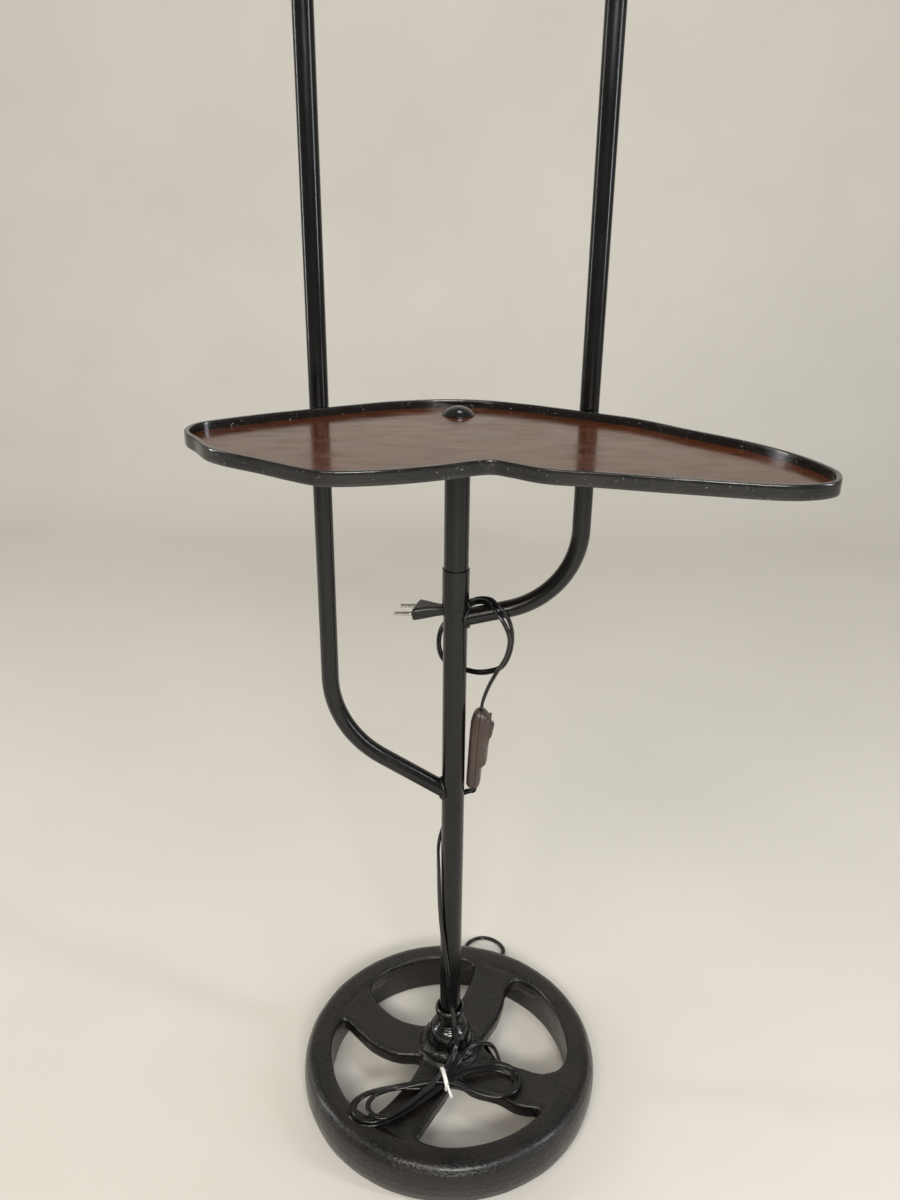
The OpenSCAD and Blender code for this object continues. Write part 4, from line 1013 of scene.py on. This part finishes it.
def makeBoard():
    # ruled between the back edge and the front edge, from the left tip to the right tip
    edge = trayEdge(tray["strip"] + 0.15, 3.0)
    first, second = edge[:, 0].argmin(), edge[:, 0].argmax()
    n, m = 150, 70
    def side(i, j):
        part = edge[i:j + 1] if i <= j else np.vstack([edge[i:], edge[:j + 1]])
        s = np.r_[0, np.cumsum(np.linalg.norm(np.diff(part, axis=0), axis=1))]
        u = np.linspace(0, s[-1], n + 1)
        return np.stack([np.interp(u, s, part[:, k]) for k in (0, 1)], 1)
    back, front = side(first, second), side(second, first)[::-1]
    w = np.linspace(0, 1, m + 1)[None, :, None]
    rows = (front[1:-1, None] * (1 - w) + back[1:-1, None] * w)
    z1, z0 = tray["low"] + tray["board"], tray["low"]
    top = np.concatenate([rows, np.full(rows.shape[:2] + (1,), z1)], 2)
    warp = 0.12 * waves(top[..., 0] * 0.012, top[..., 1] * 0.02, 61)
    top[..., 2] += np.minimum(warp, 0.1)
    low = top.copy()
    low[..., 2] = z0
    k, c = rows.shape[:2]
    size = k * c
    tips = np.array([[*back[0], z1], [*back[0], z0], [*back[-1], z1], [*back[-1], z0]])
    points = np.vstack([top.reshape(-1, 3), low.reshape(-1, 3), tips])
    g = gridFaces(k, c, False, False)
    quads = [g, g[:, ::-1] + size]
    i = np.arange(k - 1)
    for col, flip in ((0, False), (c - 1, True)):
        q = np.stack([i * c + col, i * c + col + size, (i + 1) * c + col + size, (i + 1) * c + col], 1)
        quads.append(q[:, ::-1] if flip else q)
    j = np.arange(c - 1)
    tri, more = [], []
    for row, tip, flip in ((0, 2 * size, False), (k - 1, 2 * size + 2, True)):
        a, b = row * c + j, row * c + j + 1
        up = np.stack([np.full(c - 1, tip), a, b], 1)
        dn = np.stack([np.full(c - 1, tip + 1), b + size, a + size], 1)
        tri += [up[:, ::-1] if flip else up, dn[:, ::-1] if flip else dn]
        q = np.array([[tip, tip + 1, row * c + size, row * c],
                      [row * c + c - 1, row * c + c - 1 + size, tip + 1, tip]])
        more.append(q[:, ::-1] if flip else q)
    shell = Shell()
    shell.add(points, [np.vstack(quads + more), np.vstack(tri)])
    makePiece("trayBoard", shell, lacquer, ("tray_board",), sharp=40)


def makeDome(t):
    # low spherical head with a turned edge, on its shank
    ball = (t["domeR"] ** 2 + t["domeH"] ** 2) / (2 * t["domeH"])
    a = np.linspace(math.asin(t["domeR"] / ball), 0, 22)
    z = tray["low"] + tray["board"] + 0.12
    cap = np.stack([ball * np.sin(a), t["domeH"] - ball + ball * np.cos(a) + z], 1)
    edge = [[0, 712], [3.6, 712], [4, 712.5], [4, z], [t["domeR"] - 0.3, z], [t["domeR"], z + 0.3]]
    shell = Shell()
    shell.grid(revolvedGrid(np.vstack([edge, cap[1:]])[1:-1], 72), closeU=True, capV=True)
    makePiece("trayScrew", shell, glossBlack, ("tray_screw",), sharp=45)


makeStrip()
makeBoard()
makeDome(tray)
print("tray")

head = {"flange": 4, "bushLong": 20, "nut": 5, "cap": 16, "holder": 20, "skirt": 30, "bulb": 22.5, "bulbCap": 25,
        "bowlR": 110, "bowlH": 112, "sheet": 1.2, "seat": 24, "lip": 2.2}


def bowlProfile(h):
    # flat seat, then a quarter of an ellipse outwards and up, ending in a rolled lip
    a = np.linspace(0, math.pi / 2, 40)
    w, d = h["bowlR"] - h["seat"], h["bowlH"] - 3
    p = np.stack([h["seat"] + w * np.sin(a), d * (1 - np.cos(a))], 1)
    n = unitRows(np.stack([-d * np.sin(a), w * np.cos(a)], 1))
    inner = p + h["sheet"] * n
    c = np.array([h["bowlR"] - h["sheet"] / 2, h["bowlH"] - 2.6])
    b = np.radians(np.linspace(-70, 250, 18))
    lip = c + h["lip"] * np.stack([np.cos(b), np.sin(b)], 1)
    outer = np.vstack([[[5.05, 0]], p[:-2], lip])
    return outer, np.vstack([inner[:-2][::-1], [[5.05, h["sheet"]]]])


def makeBowl(h, b):
    # the profile turned, with faint tool rings and a slow waviness; the faces inside take the white enamel
    outer, inner = bowlProfile(h)
    p = np.vstack([outer, inner, outer[:1]])
    shell = Shell()
    z = b["top"] + h["flange"]
    revolve(shell, p, (b["sign"] * b["x"], 0, z), 128,
            wobble=lambda a, z: 0.05 * np.sin(z * 1.3) * (z > 2)
            + 0.15 * waves(2 * np.cos(a), 2 * np.sin(a) + 0 * z, 71))
    obj = makePiece("bowl" + b["name"], shell, spunBlack, ("bowl_" + b["name"].lower(),), sharp=50)
    obj.data.materials.append(spunWhite)
    m = len(p) - 1
    index = np.zeros((128, m), int)
    index[:, len(outer) - 6:m - 1] = 1
    obj.data.polygons.foreach_set("material_index", index.ravel().astype(np.int32))


def hexRing(across, bore, z0, z1, centre):
    # six-sided nut with bevelled corners: the radius runs between the flats and the corners
    n = 96
    a = steps(n)
    flat = across / 2 / np.cos((a + math.pi / 6) % (math.pi / 3) - math.pi / 6)
    r1 = np.minimum(flat, across / 2 * 1.02)
    rings = [(np.full(n, bore), z0), (r1, z0), (flat, z0 + 0.7), (flat, z1 - 0.7), (r1, z1), (np.full(n, bore), z1)]
    g = np.stack([np.stack([r * np.cos(a), r * np.sin(a), np.full(n, z)], 1) for r, z in rings], 1)
    return g + np.array(centre, float)


def makeHead(h, b):
    # heights add up from the tube's end: flange, sheet, nut, cap, skirt, bulb; the nut is given back as a grid
    side, low = b["name"].lower(), b["top"]
    at = (b["sign"] * b["x"], 0, low)
    nut = h["flange"] + h["sheet"]
    cap = nut + h["nut"]
    skirt = cap + h["cap"]
    bulb = skirt + h["skirt"] + 1.2 - h["bulbCap"]
    simpleTurned("bush" + b["name"], [[5.05, -h["bushLong"]], [5.05, 4], [13, 4], [8, 0.02], [6.45, 0.02],
                                         [6.45, -h["bushLong"]]], at, blackMould, ("bush_" + side,))
    simpleTurned("nipple" + b["name"], [[3.5, -14], [3.5, cap + 6], [5, cap + 6], [5, -14]], at, brass,
                 ("nipple_" + side,))
    makeBowl(h, b)
    r = h["holder"]
    simpleTurned("holderCap" + b["name"],
                 [[5.05, cap], [10, cap], [r - 3, cap + 4], [r, cap + 9], [r, skirt - 0.1], [r - 2, skirt - 0.1],
                  [r - 2, cap + 9], [r - 5, cap + 5.5], [10, cap + 3.5], [5.05, cap + 3.5]], at, blackMould,
                 ("holder_cap_" + side,), edge=1.2)
    top = skirt + h["skirt"]
    simpleTurned("holderSkirt" + b["name"],
                 [[0.4, skirt + 0.1], [r, skirt + 0.1], [r, skirt + 6], [r - 0.7, skirt + 7], [r, skirt + 8],
                  [r, skirt + 13], [r - 0.7, skirt + 14], [r, skirt + 15], [r, top - 4], [r - 2, top],
                  [13.6, top], [13.6, skirt + 5], [0.4, skirt + 5]], at, blackMould, ("holder_skirt_" + side,))
    thread = [[13 - 0.5 * (k % 2), bulb + 8 + 1.75 * k] for k in range(9)]
    simpleTurned("bulbCap" + b["name"],
                 [[0.3, bulb], [4, bulb], [6, bulb + 2], [11.5, bulb + 5], [12.6, bulb + 7]] + thread
                 + [[13, bulb + 25], [0.3, bulb + 25]], at, plated, ("bulb_cap_" + side,), sharp=70)
    z = bulb + h["bulbCap"]
    p = [[12.9, z + 0.05], [13.2, z + 2.5], [13.5, z + 5]]
    p += [[h["bulb"] * math.cos(k), z + h["bulb"] + 6 + h["bulb"] * math.sin(k)]
          for k in np.radians(np.linspace(-50, 89.5, 30))]
    shell = Shell()
    shell.grid(revolvedGrid(p, 72) + np.array(at, float), closeU=True, capV=True)
    makePiece("bulbGlobe" + b["name"], shell, opal, ("bulb_globe_" + side,))
    return hexRing(15, 5.06, low + nut + 0.02, low + cap - 0.02, (at[0], 0, 0))


nuts = Shell()
for b in (left, right):
    nuts.grid(makeHead(head, b), closeU=True, closeV=True)
makePiece("bowlNuts", nuts, brass, ("bowl_nuts",), sharp=30)
print("heads")

switch = {"at": (21.5, 2, 379), "lean": 3, "turn": 80, "long": 84, "wide": 24, "half": 9, "foot": 4.5,
          "rockerUp": 64.5, "rockerLong": 24, "rockerWide": 12, "tilt": 7, "pivotY": -3, "screws": (14, 34)}
switchTurn = turned("y", switch["lean"]) @ turned("z", switch["turn"])


def shellOutline(s):
    # slim foot that steps out to the rocker's end and tapers to the top, as half widths and heights
    w, l = s["wide"] / 2, s["long"]
    side = [[0.45, 0], [0.68, 0.06], [0.78, 0.22], [0.86, 0.36], [0.95, 0.5], [1, 0.62], [0.98, 0.76], [0.78, 0.91],
            [0.42, 1]]
    rows = [[-w * a, l * b] for a, b in side] + [[w * a, l * b] for a, b in side[::-1]]
    return smoothCurve(rows, 0.8, closed=True)


def shellField(x, y, z, s):
    # the outline given a thickness between two faces that vary with height, less the flex's way in at each end
    flat = outlineDistance(x[:, 0, :], z[:, 0, :], shellOutline(s))[:, None, :]
    up = z / s["long"]
    # the front stands low at the foot and steps out below the rocker; both faces fall away at the top
    step = np.clip((up - 0.26) / 0.09, 0, 1)
    fall = np.clip((up - 0.84) / 0.16, 0, 1) ** 2 * 4.5
    front = -s["foot"] - (s["half"] - s["foot"]) * step * step * (3 - 2 * step) + fall
    back = s["half"] - 0.6 * fall
    shape = slab(flat + 0.05, (y - (front + back) / 2) / (back - front) * 2 * s["half"], -s["half"] + 0.05,
                 s["half"] - 0.05, 6.6)
    for end in (0, s["long"]):
        way = np.maximum(np.hypot(np.maximum(np.abs(x) - 1.3, 0), y) - 1.75, np.abs(z - end) - 6)
        shape = carve(shape, way, 0.3)
    return shape


def frontField(x, y, z):
    # the shell's front side, a low frame melted onto it, and the rocker's window cut through both
    s = switch
    shape = np.maximum(shellField(x, y, z, s), y + 0.12)
    rise = slab(np.maximum(np.abs(x) - 7.6, np.abs(z - s["rockerUp"]) - 13.9), y, -9.35, -6, 0.7)
    shape = melt(shape, rise, 1.0)
    window = np.maximum(np.maximum(np.abs(x) - 6.45, np.abs(z - s["rockerUp"]) - 12.75), y + 1.6)
    return carve(shape, window, 0.35)


def backField(x, y, z):
    # the shell's back side, with a counterbore for each screw
    s = switch
    shape = np.maximum(shellField(x, y, z, s), 0.12 - y)
    for up in s["screws"]:
        hole = np.maximum(np.hypot(x, z - up) - 2.75, s["half"] - 2.1 - y)
        shape = carve(shape, hole, 0.3)
    return shape


def rockerField(x, y, z):
    # domed bar: a round-edged block with a shallow hollow along its face and three grip ribs at its upper end
    half = switch["rockerLong"] / 2 - 1
    top = -9.5 + 2.2 * (z / half) ** 2
    block = np.maximum.reduce([np.abs(x) - switch["rockerWide"] / 2, np.abs(z) - half, top - y, y - 1.8,
                               (np.abs(z) - half - 0.9 * (y + 2)) * 0.74])
    for up in (6.6, 8.0, 9.4):
        block = melt(block, np.maximum(np.hypot(y - top, z - up) - 0.2, np.abs(x) - 4.2), 0.25)
    return carve(block, np.hypot(y, z) - 1.58, 0.1)


def crossHead(x, y, z):
    # a round bar with a cross of two slots, 0.7 mm wide and 3 mm long, cut 0.9 mm deep into its end
    bar = slab(np.hypot(x, y) - 2.45, z, -7.05, 1.5, 0.4)
    slots = [np.maximum(np.abs(u) - 0.35, np.abs(v) - 1.5) for u, v in ((x, y), (y, x))]
    return carve(bar, np.maximum(np.minimum(*slots), 0.6 - z), 0.1)


fieldPiece("switchFront", frontField, (-13.5, -10.4, -1.5), (13.5, 1.2, 85.5), 0.36, switch["at"], switchTurn,
           brownMould, ("switch_front",))
fieldPiece("switchBack", backField, (-13.5, -1.2, -1.5), (13.5, 10.2, 85.5), 0.36, switch["at"], switchTurn,
           brownMould, ("switch_back",))
pivot = np.array(switch["at"]) + switchTurn @ np.array([0, switch["pivotY"], switch["rockerUp"]])
fieldPiece("switchRocker", rockerField, (-6.6, -10.4, -11.8), (6.6, 2.6, 11.8), 0.24, pivot,
           switchTurn @ turned("x", switch["tilt"]), brownMould, ("switch_rocker",), "rocker")


def makeSwitchSmall(s):
    # pivot pin, and two screws in the back's counterbores
    shell = Shell()
    pin = fillet([[0.02, -8.4], [1.45, -8.4], [1.45, 8.4], [0.02, 8.4]], 0.25, 4)
    shell.grid(revolvedGrid(pin, 28)[..., [2, 0, 1]], closeU=True, capV=True)
    shell.points = [placed(q, pivot, switchTurn) for q in shell.points]
    makePiece("rockerPin", shell, steel, ("switch_pin",), sharp=40)
    shell = Shell()
    for up in s["screws"]:
        points, quads = netSurface(crossHead(*fieldGrid((-2.9, -2.9, -7.5), (2.9, 2.9, 2.0), 0.16)),
                                   (-2.9, -2.9, -7.5), 0.16)
        shell.add(placed(placed(points, (0, s["half"] - 2.0, up), turned("x", -90)), s["at"], switchTurn), quads)
    makePiece("shellScrews", shell, steel, ("switch_screws",))


makeSwitchSmall(switch)
print("switch")

plug = {"dip": 7, "turn": 15, "gap": 18.6, "pin": 4, "out": 16, "face": -34}
plugTurn = turned("z", -plug["turn"]) @ turned("y", -plug["dip"])


def plugField(x, y, z):
    # waisted grip that widens to the pin face, flat faces eased into round edges, four finger grooves a side
    rows = [[0, -4], [-10, -6], [-19, -8.5], [-28, -12.5], [-33, -12.5], [-33, 12.5], [-28, 12.5], [-19, 8.5],
            [-10, 6], [0, 4]]
    flat = outlineDistance(x[:, :, 0], y[:, :, 0], smoothCurve(rows, 0.8, closed=True))[:, :, None]
    taper = 4.0 + 2.0 * np.clip(-x / 22, 0, 1)
    shape = slab(flat + 0.05, z / taper * 6, -5.95, 5.95, 3.6)
    for at in (-9, -12, -15, -18):
        shape = carve(shape, np.maximum(np.hypot(x - at, np.abs(z) - 1.02 * taper) - 0.7, np.abs(y) - 5), 0.4)
    way = np.maximum(np.hypot(np.maximum(np.abs(y) - 1.3, 0), z) - 1.75, -3 - x)
    return carve(shape, way, 0.3)


fieldPiece("plugBody", plugField, (-36.5, -14.5, -7.4), (1.8, 14.5, 7.4), 0.4, plugRoute[-1], plugTurn, blackMould,
           ("plug_body",))


def makePins(p):
    # two round pins: a straight bar with a slightly thicker root, ending in a dome
    shell = Shell()
    r = p["pin"] / 2
    tip = np.radians(np.linspace(0, 88, 10))
    rows = [[r - 0.1, 0.2], [r, 0.4], [r, 8.0], [r - 0.12, 8.25], [r - 0.12, p["out"] - 0.1]]
    rows += [[(r - 0.12) * math.cos(k), p["out"] + (r - 0.12) * math.sin(k)] for k in tip]
    rows = dense(rows, 1.5)
    for s in (-1, 1):
        g = revolvedGrid(rows, 36)[..., [2, 0, 1]] * [-1, 1, 1] + [p["face"], s * p["gap"] / 2, 0]
        shell.grid(placed(g, plugRoute[-1], plugTurn), closeU=True, capV=True)
    makePiece("plugPins", shell, plated, ("plug_pins",), sharp=50)


makePins(plug)
print("plug")

def makeWiring():
    # the splice and the three wires, never in sight
    simpleTurned("spliceBlock", [[0.3, 300], [8, 300], [8, 334], [0.3, 334]], (0, 0, 0), whiteMould,
                 ("splice_block",), edge=1.2)
    shell = Shell()
    sweep(shell, np.linspace([0, 0, 22.5], [0, 0, 299.5], 60), circle(2.5, 16), np.tile([0, 1.0, 0], (60, 1)))
    makePiece("supplyWire", shell, sheath, ("wire_supply",))
    for b in (left, right):
        line = tubeLine(b)
        turn = b["joint"] + 3.2 * math.tan(math.radians(b["slope"]))
        start = [[3.2, 0, 334.5], [3.2, 0, (334.5 + turn) / 2], [3.2, 0, turn - 4], [4.4, 0, turn + 0.6]]
        keep = line[line[:, 0] > 9]
        rows = np.vstack([start, keep[:-1:3], [[b["x"], 0, b["top"] + 16]]])
        rows[:, 0] *= b["sign"]
        shell = Shell()
        path = smoothCurve(rows, 4.0)
        sweep(shell, path, circle(2.0, 14), np.tile([0, 1.0, 0], (len(path), 1)))
        makePiece("lampWire" + b["name"], shell, sheath, ("wire_" + b["name"].lower(),))


makeWiring()
print("wiring")


sweepSheet = {"half": 4.5, "back": 2.6, "bend": 0.9, "high": 4.2}  # metres


def makeStage(s):
    # a pale sheet that runs back along the floor and curves up into a wall: a line, a quarter circle, a line
    paper = makeMaterial("pale paper sweep", {
        "fibre": ("noise", "at", grain(1.2), 3), "cloud": ("noise", "at", grain(320), 3),
        "colour": ("blend", ("range", "cloud", 0.3, 0.7), "#dad6cd", "#dedad2"),
        "rough": ("range", "fibre", 0.3, 0.7, 0.6, 0.75), "relief": ("bump", "fibre", 0.03 * mm)})
    a = np.linspace(0, math.pi / 2, 24)[1:]
    y = np.r_[-s["half"], np.linspace(-2.4, 1.6, 12), s["back"] - s["bend"] + s["bend"] * np.sin(a), s["back"]]
    z = np.r_[np.zeros(13), s["bend"] - s["bend"] * np.cos(a), s["high"]]
    x = np.linspace(-s["half"], s["half"], 24)[:, None]
    g = np.stack([x + 0 * y, y + 0 * x, z - 0.0002 + 0 * x], -1)
    mesh = bpy.data.meshes.new("sweep")
    mesh.from_pydata(g.reshape(-1, 3).tolist(), [], gridFaces(24, len(y), False, False).tolist())
    mesh.polygons.foreach_set("use_smooth", np.ones(len(mesh.polygons), bool))
    mesh.materials.append(paper)
    obj = bpy.data.objects.new("sweep", mesh)
    bpy.context.scene.collection.objects.link(obj)
    return obj


makeStage(sweepSheet)

print("finish")
